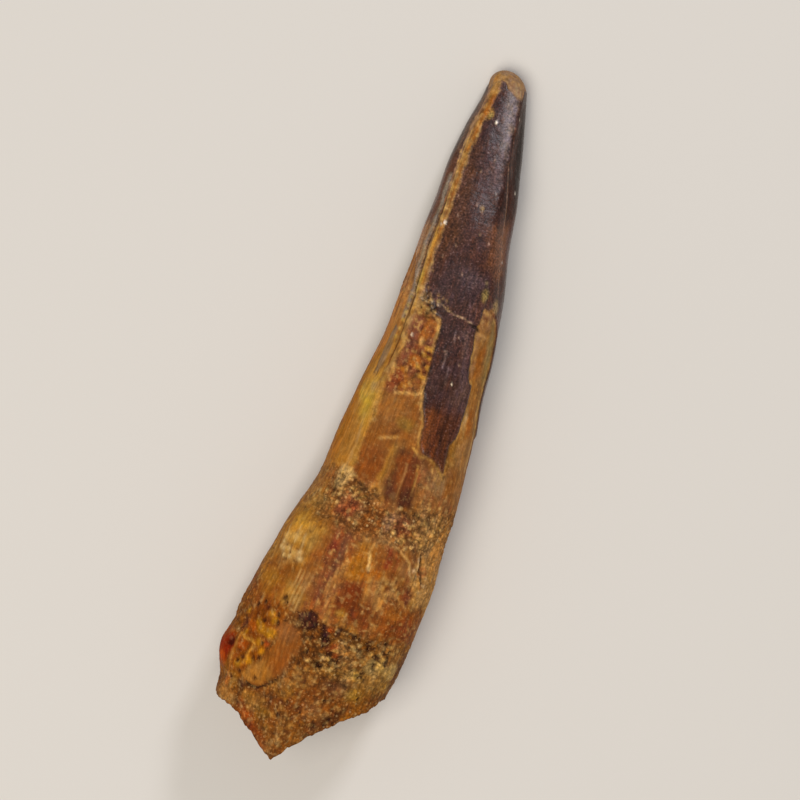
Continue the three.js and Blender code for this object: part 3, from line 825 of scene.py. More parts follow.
lay(
    strip(0.12, (-13, 63.6), (-17, 64.2), (-23, 65), (-29, 65.6), (-35, 65.7), (-39, 65.5)),
    "#1e0d06", 0.95, 0.09, -0.2,
)
# Painted highlight: a pale line on the lip below the crack
lay(strip(0.1, (-14, 64.0), (-18, 64.6), (-24, 65.4)), "#b8925c", 0.6, 0.12, 0.05)
print("points on the tongue:", int((tongue > 0).sum()))

# %% Pits in the root
big_pit = patch(
    (-22, 57.2), (-18, 57), (-15, 56.8), (-10, 56.7), (-6, 57.2), (-5, 57.8), (-6, 58.3), (-9, 58.6),
    (-13, 58.8), (-16, 58.5), (-17, 58), (-19, 57.8), waver=0.5,
)
second_pit = patch(
    (-4, 57.5), (1, 57.5), (3, 58), (6, 58.8), (6, 59.4), (3, 59.9), (1, 59.2), (-1, 58.5), waver=0.5,
)
third_pit = patch((7, 57.3), (11, 57.4), (11, 58.3), (8, 58.6), (6, 58), waver=0.5)
lay(big_pit, "#2f100f", 0.95, 0.12, -0.3)
lay(second_pit, "#351416", 0.92, 0.12, -0.26)
lay(third_pit, PIT, 0.92, 0.12, -0.26)
scatter(
    [(-15, 57.5), (-11, 58.1), (-18, 57.4), (-9, 57.4), (-13, 58.5), (0, 57.9), (4, 59.2)],
    0.2, 0.2, "#63362e", 0.8, 0.14, 0.16,
)
scatter([(-13, 57.2), (-8, 58), (2, 58.5), (9, 57.7)], 0.16, 0.16, "#43283c", 0.8, 0.12, 0.1)
pits = [
    (20, 57.8, 0.3), (17, 57.6, 0.2), (9, 60, 0.34), (0, 60.6, 0.18), (4, 60.5, 0.24), (4, 61.6, 0.32),
    (7, 61.5, 0.26), (25, 62.2, 0.32), (27, 62.6, 0.28), (29, 59, 0.3), (16, 60.7, 0.22),
    (19, 58.3, 0.2), (18, 61.3, 0.16), (46, 57.5, 0.2), (40, 57.8, 0.17), (25, 57.9, 0.17),
    (-35, 56.4, 0.3), (-32, 56.8, 0.2), (-4, 60.4, 0.17), (12, 61.2, 0.17), (29, 66.3, 0.3),
    (33, 66.5, 0.2), (20, 67.3, 0.24), (17, 68.4, 0.26), (27, 66.9, 0.22), (38, 65, 0.2),
    (6, 66.5, 0.18), (34, 58.4, 0.2), (52, 58.2, 0.2), (37, 60.8, 0.18), (22, 60, 0.18),
    (20, 64.6, 0.18), (44, 63.4, 0.2), (-4, 66, 0.16),
]
scatter(pits, 1, 1, PIT, 0.9, 0.12, -0.28)
print("marks laid:", len(marks))

# %% Small pits in the crust, and dark dots
SMALL_PIT_DEPTH = 0.16
pitted_places = [  # the mark, where it begins, where it is full, how pitted it is
    (spot(17, 60.0, 5.0, 3.0), -0.6, 1.2, 1.0),
    (spot(40, 59.0, 2.6, 2.2), -0.5, 1.0, 1.0),
    (spot(18, 45.3, 5.5, 1.0), -0.4, 0.6, 0.8 * neck),
    (spot(-20, 44.0, 3.0, 1.0), -0.3, 0.6, 0.6 * neck),
    (spot(40, 45.0, 2.4, 1.4), -0.4, 0.6, 0.4 * neck),
    (spot(-50, 60.5, 2.6, 2.6), -0.4, 0.6, 0.4),
    (spot(5, 66.0, 5.0, 2.6), -0.4, 0.8, 0.5),
]
pitted = sum(amount * smoothstep(mark, begins, full) for mark, begins, full, amount in pitted_places)
small_pits = np.clip(pitted, 0, 1) * smoothstep(-crumbs, 0.26, 0.34)
tint(0.3 * smoothstep(spot(25, 59.4, 3.2, 2.4), -0.5, 1.0), "#55361a")
tint(0.3 * smoothstep(spot(-11, 68.6, 3.2, 2.4), -0.5, 1.0), "#59381a")
tint(0.85 * small_pits * (1 - 0.6 * neck), PIT)
relief -= SMALL_PIT_DEPTH * small_pits * (1 - 0.45 * neck)
dots = [
    (-55, 57.9), (-49, 57.5), (-44, 57.9), (-42, 59.2), (-33, 61.1), (-40, 63), (-35, 62.8),
    (-50, 63.3), (-49, 64.7), (-33, 64.8), (-57, 65.5), (-43, 66.1), (-33, 58.3), (-31, 59),
    (-53, 63.8), (-37, 61.4), (-8, 67.4), (1, 63.6), (-2, 70.2),
]
scatter(dots, 0.25, 0.24, "#33150b", 0.92, 0.1, -0.16)
scatter(
    [(10, 59.2), (12, 59.3), (8, 59.7), (4, 57.9), (-33, 61.3), (14, 60.1)],
    0.3, 0.26, "#b0501c", 0.75, 0.18,
)
print("pitted points:", int((small_pits > 0.5).sum()))

# %% Grains that stand out among the pits
pale_grains = [
    (-7, 62.5), (-4, 62.8), (-7, 64), (2, 63.9), (-5, 63.3), (0, 62.3), (4, 62.9), (-3, 64.1), (6, 62),
    (-2, 63.4), (-33, 67.8), (-12, 67.6), (-28, 67.2), (-38, 66.5), (-22, 66.6), (-4, 68.6), (3, 68),
    (-14, 69), (-8, 66.6),
]
scatter(pale_grains, 0.26, 0.22, "#c49a62", 0.75, 0.16, 0.09)
scatter(
    [
        (0, 64.9), (7, 65.6), (13, 65.6), (5, 66.1), (-4, 65.5), (-13, 64.9), (10, 66.9), (-9, 66),
        (-16, 66.2), (2, 67.2),
    ],
    0.24, 0.2, "#5c2a10", 0.75, 0.14, -0.06,
)
scatter(
    [
        (10, 60.6), (13, 59.6), (16, 58.6), (22, 58.8), (26, 58.4), (30, 60.8), (21, 60.6), (14, 61.6),
        (-2, 61.4), (6, 60.6),
    ],
    0.22, 0.18, "#dcc494", 0.75, 0.13, 0.09,
)
scatter(
    [
        (50, 57.6), (56, 58.2), (44, 58.6), (60, 57.8), (36, 58.9), (48, 59.0), (40, 60.4), (28, 60.2),
        (24, 59.0), (32, 59.8),
    ],
    0.24, 0.18, "#d8bc88", 0.75, 0.14, 0.08,
)
print("marks laid:", len(marks))

# %% [markdown]
# ## Enamel
# Enamel covers the crown, a hard skin 0.2 mm thick that ends in a flaked ledge. On top it
# reaches down the root in one long tongue, with a shorter one beside it on the right flank. It is
# dark purple brown, glossier than the dentine, and slightly wrinkled along the tooth.

# %% The cover of enamel
ENAMEL_THICKNESS = 0.2
ENAMEL_EDGE = [  # around, along
    (-180, 31),
    (-150, 34),
    (-128, 30.5),
    (-100, 24),
    (-88, 19.5),
    (-64, 21),
    (-48, 24),
    (-38, 24.7),
    (-26, 24.6),
    (-15, 25.6),
    (-8, 25.7),
    (36, 25.7),
    (41, 23.3),
    (58, 23.1),
    (66, 23.9),
    (75, 25.2),
    (100, 27),
    (122, 36.5),
    (148, 37.5),
    (168, 28),
    (180, 31),
]
cover = broken_line(ENAMEL_EDGE, around) - along - 0.9 * waver_along
long_tongue = patch(
    (-8, 25), (-4, 26.5), (-3, 27.5), (-3, 29), (-1, 30.5), (0, 32), (0.5, 33), (3, 33.7), (5, 34.5),
    (8, 35.3), (10, 36), (11, 37), (12, 37.8), (14, 38.3), (18, 38.7), (25, 38.9), (30, 39), (34, 39.2),
    (37, 39.8), (41, 39.9), (39.5, 38.5), (40, 37.2), (43, 36.8), (46, 36.4), (47.5, 35.5), (48, 34),
    (49, 32), (48.5, 30.8), (44, 30.7), (41, 30.3), (39, 29.5), (37.5, 28), (36, 26.5), (36, 25),
    waver=0.35,
)
side_tongue = patch(
    (75, 23.4), (76.5, 26), (76, 28.5), (75, 30.5), (76, 33), (81, 35), (92, 35.6), (104, 34.6),
    (112, 32), (112, 27), (96, 21), (84, 20), waver=0.35,
)
enamelled = np.maximum(np.maximum(cover, long_tongue), side_tongue)
blend(enamel, smoothstep(enamelled, -0.16, 0.16), 1.0)
relief += ENAMEL_THICKNESS * (smoothstep(enamelled, -0.2, 0.2) - 1)
tint(enamel, ENAMEL)
tint(0.6 * enamel * smoothstep(blotch, 0.0, 0.45), ENAMEL_DEEP)
tint(0.5 * enamel * smoothstep(-blotch, 0.0, 0.45), ENAMEL_MAUVE)
tint(0.4 * enamel * smoothstep(streak, 0.1, 0.4), ENAMEL_RED)
blend(fibre, enamel, 0.45)
blend(fibre, enamel * smoothstep(along, 14, 24), 0.9)
blend(sand, enamel, 0.0)
print("enamelled points:", int((enamel > 0.5).sum()))

# %% A rim of pale dentine along the enamel's flaked edge
past_crown = smoothstep(along, 24, 26)
flaked = np.exp(-(((enamelled + 0.16) / 0.14) ** 2)) * past_crown
tint(0.6 * flaked * smoothstep(cloud, -0.3, 0.1), CREAM)
shadow = np.exp(-(((enamelled - 0.1) / 0.1) ** 2)) * past_crown
tint(0.5 * shadow, "#1c0e0a")
print("flaked edge points:", int((flaked > 0.5).sum()))

# %% Patches in the enamel, with a painted sheen near the tip and painted shade on the right facet
lay(patch((-34, 8), (-10, 8), (-8, 18), (-34, 22)), "#58391f", 0.5, 0.8)
# Painted highlight: a paler grey mauve where the sheen fades down the facet
lay(spot(15, 10.5, 1.2, 2.4), "#5c4444", 0.5, 0.8)
# Painted highlight: the grey-mauve sheen on the flat facet near the tip, painted into the stain besides
# the tip light's real reflection
lay(patch((3, 1.6), (40, 2.2), (38, 4.5), (31, 7.6), (14, 8), (6, 4.2), waver=0.3), "#70635f", 0.6, 0.25)
lay(patch((42, 3), (92, 3), (100, 18), (70, 19), (50, 13)), "#5a2a18", 0.45, 0.6)
# Painted highlight: a brighter streak of the same sheen
lay(strip(0.4, (19, 2.2), (23, 4.6), (26, 8.2)), "#8a8084", 0.4, 0.35)
# Painted highlight: the sheen fading down the facet
lay(patch((14, 7.6), (31, 7.6), (30, 13), (18, 12)), "#63524f", 0.5, 0.5)
lay(spot(-10, 7.0, 1.0, 3.0), "#432f30", 0.5, 0.7)
# Painted shade: the right facet, which turns away from the light, darkened almost to black
lay(patch((41, 3), (78, 3), (74, 14), (58, 15.5), (34, 13), (34, 8)), "#2e1103", 0.75, 0.2)
lay(patch((24, 15.6), (64, 14.5), (70, 19.5), (50, 20.3), (28, 19.3)), "#6b442c", 0.8, 0.6)
lay(spot(56, 17.5, 0.8, 2.0), "#7a5034", 0.6, 0.6)
lay(spot(5, 22.0, 2.6, 2.0), "#3f2c2c", 0.5, 0.8)
lay(spot(20, 21.0, 1.4, 0.9), "#59484a", 0.45, 0.6)
lay(patch((12, 34.5), (45, 34), (38, 40), (15, 39)), "#532c10", 0.8, 0.7)
lay(strip(0.35, (12, 34.8), (16, 38.4)), "#743f18", 0.7, 0.3)
lay(strip(0.3, (22, 34.8), (24, 38.6)), "#6e3818", 0.6, 0.3)
lay(spot(35, 38.4, 0.9, 1.0), "#38201c", 0.8, 0.4)
lay(spot(22, 31.2, 2.0, 2.2), "#42302e", 0.45, 0.8)
lay(spot(37, 32.4, 1.0, 1.4), "#5a4644", 0.45, 0.6)
# Painted shade: a near-black band where the crown's right edge turns away from the light
lay(spot(80, 8, 1.4, 5.0), "#160802", 0.85, 0.5)
lay(strip(0.4, (23, 26.4), (29, 28.6), (35, 30.6), (40, 32)), "#5f4a48", 0.55, 0.3)
lay(patch((76, 24), (112, 26), (112, 32), (98, 36), (78, 34)), "#4f2513", 0.75, 0.6)
lay(strip(0.07, (9.5, 28.5), (10.5, 30.2)), "#8c7672", 0.7, 0.1)
lay(strip(0.06, (16, 30), (17.5, 31.6)), "#7e6864", 0.6, 0.1)
lay(strip(0.06, (13, 26.4), (14.5, 27.4)), "#8a7470", 0.6, 0.1)
in_lower = smoothstep(along, 33, 36) * enamel
tint(0.4 * in_lower * smoothstep(streak, 0.0, 0.3), "#683814")
tint(0.5 * in_lower * smoothstep(-streak, 0.0, 0.3), "#331810")
print("mean stain of the enamel:", stain[enamel > 0.5].mean(0).round(3))

# %% Hairlines, flecks, painted white glints and the crack across the crown
hairline = [
    (36, 9), (39, 10), (42, 10.8), (45, 12), (48.5, 13.3), (51, 15), (54, 16.7), (56.5, 18.3),
    (59, 20.5), (63, 21.8),
]
lay(strip(0.05, *hairline), "#98745a", 0.7, 0.08, -0.03)
lay(strip(0.04, (36, 4), (40, 7), (47, 10)), "#6c4430", 0.6, 0.07)
lay(
    strip(0.05, (-15, 24.6), (-8, 24.4), (-2, 24.7), (5, 24.85), (12, 24.9), (20, 25), (30, 25.2)),
    "#b89a78", 0.8, 0.07,
)
lay(strip(0.17, (30, 25.4), (36, 25.3), (40, 25.6)), GAP, 0.92, 0.11, -0.22)
lay(strip(0.1, (26, 25.25), (31, 25.3)), GAP, 0.8, 0.09, -0.1)
lay(strip(0.16, (41, 25.9), (48, 25.9), (56, 26.1)), "#c09458", 0.7, 0.16, 0.06)
# Painted highlights: white glints, small bright sparkles painted on the enamel and dentine
painted_white_glints = [
    (-4, 5.5, 0.22), (66, 11.5, 0.15), (-34, 16.6, 0.2), (-38.5, 16.8, 0.14), (24, 31.4, 0.1),
    (-31, 28.1, 0.14), (-42, 21.0, 0.1), (24, 12.3, 0.07), (47, 4.4, 0.08), (60, 18.4, 0.1),
]
scatter(painted_white_glints, 0.6, 0.85, WHITE, 0.95, 0.08, 0.05)
pale_flecks = [
    (-28, 13.7), (1, 13.9), (-20, 15.5), (45, 12.1), (9, 14.1), (10, 14.4), (14, 16.6), (4, 20.9),
    (-12, 18.4), (28, 17.2), (-6, 10.6), (12, 9.2), (-24, 19.8), (18, 26.9), (8, 28.6), (26, 29.4),
]
scatter(pale_flecks, 0.09, 0.11, "#b09078", 0.7, 0.08, 0.02)
lay(spot(9, 14.1, 0.2, 0.25), "#a08038", 0.7, 0.15)
lay(spot(39, 22.1, 0.4, 0.6), "#a08a4c", 0.85, 0.25, 0.05)
lay(spot(37, 20.9, 0.2, 0.2), "#8a7448", 0.6, 0.15)
lay(strip(0.14, (44, 22.6), (50, 22.3), (56, 22.7)), MAUVE_DARK, 0.7, 0.14, -0.08)
lay(spot(62, 22.8, 0.5, 0.6), "#a89060", 0.6, 0.3)
print("marks laid:", len(marks))

# %% The crumbled corner where the window begins
lay(patch((-40, 23.6), (-27, 24), (-18, 25), (-18, 25.8), (-25, 26.1), (-39, 26)), "#8a6c3c", 0.8, 0.25)
scatter(
    [
        (-36, 24.3), (-28, 24.6), (-14, 24.2), (-23, 25.2), (-15, 25.3), (-32, 25.9), (-22, 24.3),
        (-31, 25),
    ],
    0.2, 0.17, "#b8985c", 0.75, 0.13, 0.07,
)
dark_holes = [
    (-25, 24.8, 0.3), (-18, 24.6, 0.17), (-27, 24.2, 0.22), (-23, 25.7, 0.2), (-20, 25.2, 0.22),
    (-17, 25, 0.15), (-30, 23.8, 0.17), (-15, 24.8, 0.15), (-33, 25.3, 0.15),
]
scatter(dark_holes, 1, 0.8, "#24120e", 0.85, 0.12, -0.16)
scatter(
    [
        (-25, 23.8), (-10, 23.8), (-5, 23.9), (-16, 23.6), (-33, 22.6), (-31, 21.5), (-34, 20.4),
        (-30, 23.2), (-2, 24.5),
    ],
    0.14, 0.14, "#8c6c40", 0.7, 0.12,
)
print("marks laid:", len(marks))

# %% [markdown]
# ## The worn tip and the cutting edges
# The tip is worn through to tan dentine. The cutting edge is a ridge under a quarter of a
# millimetre high. Its fine serrations are too small to show, and ochre from the ground has
# settled on it from the tip down to the root.

# %% The left face of the crown
lay(patch((-124, 1), (-52, 2), (-50, 11), (-52, 24), (-96, 24), (-112, 15)), "#38200f", 0.85, 0.8)
lay(
    patch((-104, 9), (-88, 11.5), (-54, 9), (-54, 20), (-84, 19), (-96, 21), (-110, 16)),
    "#66381a", 0.7, 0.9,
)
lay(
    patch((-92, 19), (-76, 17), (-64, 18), (-60, 24), (-62, 30), (-84, 32), (-106, 27), (-98, 22)),
    "#b27a42", 0.85, 0.7,
)
lay(patch((-64, 17), (-48, 17), (-47, 29), (-60, 29)), "#9c6c38", 0.8, 0.4)
lay(
    strip(0.32, (-56, 12), (-55, 18), (-54, 21), (-51, 23.6), (-53, 25), (-51, 26.6)),
    "#8a8070", 0.8, 0.22,
)
lay(strip(0.14, (-60, 14), (-61, 19), (-60, 23)), "#6b5038", 0.6, 0.2)
lay(strip(0.3, (-62, 3), (-64, 9)), "#7e6450", 0.5, 0.3)
lay(strip(0.16, (-72, 4), (-74, 10), (-75, 16)), "#4a342a", 0.6, 0.2)
lay(strip(0.09, (-76, 16), (-74, 20), (-72, 24), (-70, 27)), "#4f3524", 0.8, 0.1, -0.05)
lay(strip(0.2, (-70, 17), (-67, 22), (-66, 26)), "#a5773f", 0.7, 0.25)
for down in (24.6, 25.5, 26.2, 27.0, 27.9, 28.8):
    lay(spot(-50 - (down * 7 % 3), down, 0.2, 0.17), "#bca050", 0.75, 0.13, 0.05)
    lay(spot(-48 - (down * 5 % 3), down + 0.4, 0.16, 0.15), "#54391c", 0.75, 0.12, -0.06)
sliver = patch(
    (-61, 29.5), (-60, 31.5), (-57, 32.8), (-53, 32.7), (-50.5, 31.2), (-51, 29.5), (-53, 28),
    (-58, 27.6), waver=0.3,
)
lay(sliver, GREY_SLIVER, 0.9, 0.12, 0.08)
lay(strip(0.07, (-61, 31), (-58, 33), (-53, 33), (-50.5, 31.4)), "#5c4430", 0.75, 0.09, -0.04)
print("marks laid:", len(marks))

# %% Ochre along the cutting edge
EDGE_CRUMBS = 0.05
edge_line = [(-42, 0.6), (-42, 6), (-41, 12), (-40.5, 24)]
lay(strip(0.62, *edge_line), "#9c7c5c", 0.92, 0.2)
lay(strip(0.3, (-36, 1), (-34, 4), (-36, 8), (-36, 13), (-38, 17), (-39, 24)), "#9c7434", 0.9, 0.2)
lay(strip(0.16, (-48, 3), (-49, 9), (-46, 15)), "#a98058", 0.7, 0.2)
lay(spot(-24, 4.9, 0.42, 0.6), "#a87a30", 0.85, 0.25)
lay(spot(-20, 5.0, 0.2, 0.3), "#8c7c40", 0.8, 0.16)
lay(spot(-44, 5.5, 0.16, 0.2), "#dcc48c", 0.8, 0.1)
lay(spot(-30, 3.4, 0.18, 0.7), "#b06a14", 0.8, 0.16)
lay(spot(-33, 4.9, 0.2, 0.4), "#a85a0e", 0.8, 0.16)
lay(strip(0.07, (-33, 7.4), (-31, 8.6)), "#5c3418", 0.8, 0.08, -0.04)
lay(strip(0.5, (-40, 14), (-41, 20), (-41, 24)), "#98723f", 0.9, 0.2)
lay(strip(0.5, (-41, 24.6), (-41, 28), (-40, 34)), "#ac8752", 0.9, 0.2)
lay(strip(0.16, (-39.5, 18), (-40, 26)), "#bb8c38", 0.7, 0.16)
lay(strip(0.3, (-44, 22), (-44, 23.8)), "#b09434", 0.8, 0.25)
on_edge = smoothstep(strip(0.55, *edge_line, (-41, 28), (-40, 34)), -0.2, 0.1)
blend(enamel, on_edge, 0.1)
blend(fibre, on_edge, 0.5)
blend(calm, on_edge, 0.3)
tint(0.5 * on_edge * smoothstep(-streak, 0.1, 0.4), "#7a4c24")
# Painted shade in the hollows of the edge's crumbs and painted highlights on their tops, following the
# crumbs that are carved below
tint(0.5 * on_edge * smoothstep(-crumbs, 0.2, 0.45), "#6a4020")
tint(0.5 * on_edge * smoothstep(crumbs, 0.2, 0.45), "#ccaa68")
relief += EDGE_CRUMBS * on_edge * crumbs
lay(strip(0.07, (-43.5, 7), (-42.5, 12), (-42, 18), (-42.5, 24)), "#d2a858", 0.7, 0.09, 0.04)
lay(strip(0.08, (-36.5, 10), (-37, 16), (-38, 23)), "#8a5014", 0.7, 0.1, -0.04)
lay(strip(0.1, (-33.5, 3), (-34, 6), (-36, 9)), "#9c5c10", 0.7, 0.12, -0.03)
lay(
    strip(0.1, (-46, 14.5), (-50, 18), (-47.5, 21), (-46.5, 24), (-45.5, 27.2), (-45, 30.8)),
    "#38200f", 0.9, 0.1, -0.14,
)
lay(strip(0.16, (-44, 29), (-43.5, 31.6)), "#6e3c14", 0.7, 0.16, -0.08)
lay(strip(0.3, (-39, 33), (-38, 37), (-38, 42)), "#a8803c", 0.7, 0.3)
# Painted highlights: two white glints on the cutting edge
lay(spot(-35, 16.6, 0.13, 0.16), WHITE, 0.95, 0.08, 0.05)
lay(spot(-38.5, 16.9, 0.08, 0.1), WHITE, 0.8, 0.07, 0.03)
print("points on the cutting edge:", int((on_edge > 0.5).sum()))

# %% The worn tip
WORN_TO = [  # around, along
    (-180, 1.8), (-60, 2.2), (-45, 2.2), (-30, 1.5), (-22, 1.2), (-8, 1.3), (0, 1.8), (12, 2.1),
    (30, 2.6), (50, 2.4), (62, 1.3), (180, 1.8),
]
TIP_WEAR = 0.1
worn = smoothstep(broken_line(WORN_TO, around) - along - 0.35 * waver_along, -0.16, 0.16)
tint(worn, "#9a7a58")
blend(enamel, worn, 0.1)
blend(calm, worn, 0.5)
tint(0.6 * worn * smoothstep(cloud, -0.1, 0.3), "#a8844e")
lay(strip(0.3, (-46, 0.5), (-40, 1.6), (-36, 2.6)), "#a37a40", 0.8, 0.2)
lay(strip(0.12, (24, 1.2), (26, 2.2)), "#b0976a", 0.6, 0.12)
lay(strip(0.1, (38, 1.1), (40, 2.2)), "#b59a6c", 0.6, 0.1)
lay(strip(0.12, (-28, 1.1), (-10, 0.95), (10, 1.5)), "#7a5c3c", 0.5, 0.1)
relief -= TIP_WEAR * worn
print("worn points:", int((worn > 0.5).sum()))

# %% [markdown]
# ## The underside
# The side that the tooth lies on has the same history: enamel in two tongues beside the second
# cutting edge, a crumbled edge, streaked dentine, and crust with pits. It is finished as fully as
# the upper side, because a part is turned over as often as not.

# %% Enamel and the second cutting edge below
lay(spot(170, 14, 1.8, 6.0), "#513c3a", 0.5, 0.9)
lay(spot(-150, 9, 1.2, 4.5), "#4a3026", 0.6, 0.8)
lay(spot(-130, 20, 1.6, 3.4), "#5a3c2c", 0.6, 0.8)
lay(spot(112, 17, 1.6, 5.0), "#4d2f25", 0.6, 0.8)
lay(strip(0.5, (143, 1.5), (143, 12), (144, 24)), "#946a38", 0.85, 0.2)
lay(strip(0.3, (145, 2), (146, 9), (145, 18)), "#9c6418", 0.8, 0.2)
lay(strip(0.42, (144, 24), (143, 31), (143, 38)), "#a07434", 0.85, 0.2)
lay(strip(0.08, (138, 10), (137, 16), (138, 22)), "#38200f", 0.8, 0.1, -0.06)
lay(strip(0.05, (-170, 6), (-166, 12), (-158, 19), (-155, 26)), "#b08a64", 0.7, 0.07, -0.03)
lay(strip(0.06, (176, 12), (166, 15), (158, 15.5)), "#a8845c", 0.7, 0.08, -0.03)
scatter(
    [(160, 8), (-164, 13), (178, 21), (121, 12), (-142, 16), (-120, 9), (168, 26), (104, 20)],
    0.13, 0.15, "#c9b08c", 0.8, 0.1, 0.03,
)
lay(patch((-174, 27.8), (-167, 27.2), (-161, 28.2), (-163, 29.4), (-170, 29.8)), "#7c5c3a", 0.5, 0.35)
print("marks laid:", len(marks))

# %% Bare dentine below
lay(patch((-128, 24), (-100, 21), (-98, 43), (-130, 43)), "#9a6e3a", 0.75, 0.8)
lay(patch((160, 31), (200, 32), (204, 43), (158, 43)), "#8a5c34", 0.75, 0.6)
lay(spot(180, 36.5, 2.0, 2.6), "#a87a40", 0.7, 0.8)
lay(spot(-160, 33.0, 1.4, 1.4), "#7d5038", 0.7, 0.5)
lay(spot(-152, 38.5, 1.6, 2.0), "#8a4a22", 0.7, 0.6)
lay(spot(110, 34, 2.0, 4.0), "#9c7342", 0.7, 0.8)
lay(spot(133, 40.2, 1.8, 1.4), "#7c452c", 0.7, 0.6)
lay(spot(-115, 36, 1.6, 2.6), "#ae8a48", 0.7, 0.7)
lay(strip(0.12, (158, 39.5), (150, 38.6), (138, 38.9), (128, 38.0), (120, 37.5)), CREAM, 0.7, 0.14, 0.04)
lay(strip(0.14, (-175, 34), (-170, 39), (-171, 43)), MAUVE, 0.6, 0.16, -0.05)
lay(strip(0.2, (170, 34), (172, 42)), "#b08a50", 0.6, 0.25)
print("marks laid:", len(marks))

# %% The root below
lay(spot(160, 45.5, 2.2, 1.4), "#8c4c28", 0.75, 0.6)
lay(spot(-165, 46.0, 2.0, 1.4), "#a88c58", 0.7, 0.6)
lay(spot(120, 46.0, 2.2, 1.6), "#96703c", 0.7, 0.7)
lay(patch((140, 48.5), (178, 48.8), (182, 56.5), (138, 56.5)), "#96602c", 0.8, 0.6)
lay(spot(165, 52.4, 2.2, 2.2), "#aa762c", 0.75, 0.8)
lay(spot(152, 53.5, 1.0, 1.0), "#8a4413", 0.75, 0.5)
lay(patch((-172, 49), (-130, 48.6), (-126, 56), (-170, 56.4)), "#8a5a30", 0.75, 0.6)
lay(spot(-140, 51.5, 2.0, 1.8), "#b48c4c", 0.7, 0.7)
lay(spot(-120, 52.0, 1.6, 2.4), "#9a7038", 0.7, 0.7)
lay(strip(0.2, (-158, 49.5), (-157, 55)), MAUVE, 0.6, 0.22)
lay(strip(0.14, (172, 50), (170, 55.5)), PALE_CREAM, 0.5, 0.18)
lay(spot(118, 53, 2.2, 2.6), "#a07a4a", 0.7, 0.8)
lay(strip(0.12, (126, 50.2), (122, 51.6), (124, 53.0), (119, 54.4)), GAP, 0.85, 0.12, -0.2)
lay(spot(150, 60.0, 2.2, 1.4), "#ac8c50", 0.75, 0.7, 0.1)
lay(spot(-150, 60.5, 2.4, 1.6), "#9c6a1c", 0.75, 0.7)
lay(spot(-172, 63.0, 1.6, 1.2), "#7a4424", 0.65, 0.6)
lay(spot(122, 60.5, 2.0, 1.6), "#b09a60", 0.75, 0.6)
lay(spot(-118, 60.0, 1.8, 1.6), "#a87418", 0.75, 0.6)
below_pits = [
    (162, 57.8, 0.5), (168, 58.4, 0.35), (-175, 59.6, 0.3), (-160, 57.6, 0.45), (-138, 58.6, 0.25),
    (140, 61.6, 0.3), (128, 58.2, 0.25), (112, 62.0, 0.3), (-126, 62.6, 0.3), (-112, 58.0, 0.35),
    (176, 44.6, 0.28), (150, 44.2, 0.25), (-150, 44.0, 0.3), (-128, 45.0, 0.25), (108, 45.6, 0.25),
]
scatter(below_pits, 1, 0.9, PIT, 0.88, 0.14, -0.25)
scatter(
    [(170, 45.4), (155, 46.8), (-172, 44.8), (-145, 46.6), (135, 45.0), (-135, 47.0), (115, 44.4)],
    0.26, 0.24, PALE_CREAM, 0.7, 0.14, 0.09,
)
print("underside stained")

# %% Where the surface is worn smooth
plate_below_window = patch(
    (-36, 34), (0, 33.6), (10, 38.5), (24, 43), (22, 44.8), (-6, 44.4), (-10, 43.2), (-34, 42.8)
)
smooth_places = [  # the place, how calm it is
    (patch((-80, 26), (-37, 26), (-36, 42.6), (-80, 42.6)), 0.85),
    (plate_below_window, 0.7),
    (tongue, 0.9),
    (patch((-56, 58), (-30, 58.5), (-34, 65), (-56, 66)), 0.5),
    (patch((-70, 47.4), (-22, 47.6), (-20, 57), (-66, 57)), 0.6),
    (patch((-4, 48.4), (38, 48.4), (40, 51.2), (0, 57)), 0.4),
    (patch((34, 25), (84, 24), (90, 42.5), (38, 42.5)), 0.5),
    (patch((40, 2.5), (92, 2.5), (104, 34), (76, 34), (66, 22), (46, 14)), 0.8),
    (patch((-124, 1.5), (-50, 2), (-50, 24), (-110, 22)), 0.7),
    (patch((0, 29), (50, 28), (50, 40), (8, 40)), 0.45),
    (spot(-74, 63, 2.4, 2.4), 0.85),
    (spot(150, 37, 3.5, 5), 0.7),
    (spot(-140, 52, 3.5, 4), 0.6),
    (spot(130, 53, 3, 3.5), 0.5),
]
for place, share in smooth_places:
    blend(calm, smoothstep(place, -0.3, 0.5), share)
print("mean calm:", round(float(calm.mean()), 2))

# %% [markdown]
# ## Painted shade and highlights in the grain
# The random fields that will shape the sand also shade it: painted shade darkens the gaps between
# grains and the hollows between pimples, and painted highlights lighten their tops. This is what
# makes a crust look like a crust when the light is soft.

# %% An amber glaze over all but the enamel, and painted shade and highlights from the crust's own grains
GLAZE = [(0, 0), (24, 0), (30, 0.7), (50, 1.0), (58, 1.4), (62, 1.5), (66, 2.0)]  # along, depth
glaze_depth = (1 - enamel) * broken_line(GLAZE, along)
stain *= linear("#fdf2cc") ** glaze_depth[:, None]
# Painted shade in the gaps between grains, and painted highlights on the tops of lumps and pimples
tint(0.2 * sand * (1 - grains), "#4a2a12")
tint(0.12 * sand * (1 - small_grains), "#4a2c16")
tint(0.4 * sand * smoothstep(pimple + 0.5 * lump, 0.25, 0.6), "#c8a664")
tint(0.35 * sand * smoothstep(cloud, 0.15, 0.5), "#a87c44")
# Painted shade in the hollows between pimples and painted highlights on their tops, on bare dentine
bare = (1 - sand) * (1 - enamel) * (1 - calm)
tint(0.45 * bare * smoothstep(-pimple, 0.28, 0.5), RED_BROWN)
tint(0.45 * bare * smoothstep(pimple, 0.28, 0.5), CREAM)
print("mean stain on the crust:", stain[sand > 0.5].mean(0).round(3))

# %% [markdown]
# ## Carving
# The carving follows the same rule as the stains: large forms first, then small ones. The two
# cutting edges are fine ridges, the enamel ends in a ledge, and crusted lumps, pits and cracks
# stand out from or sink into the root. Every point moves along the direction that it faces.

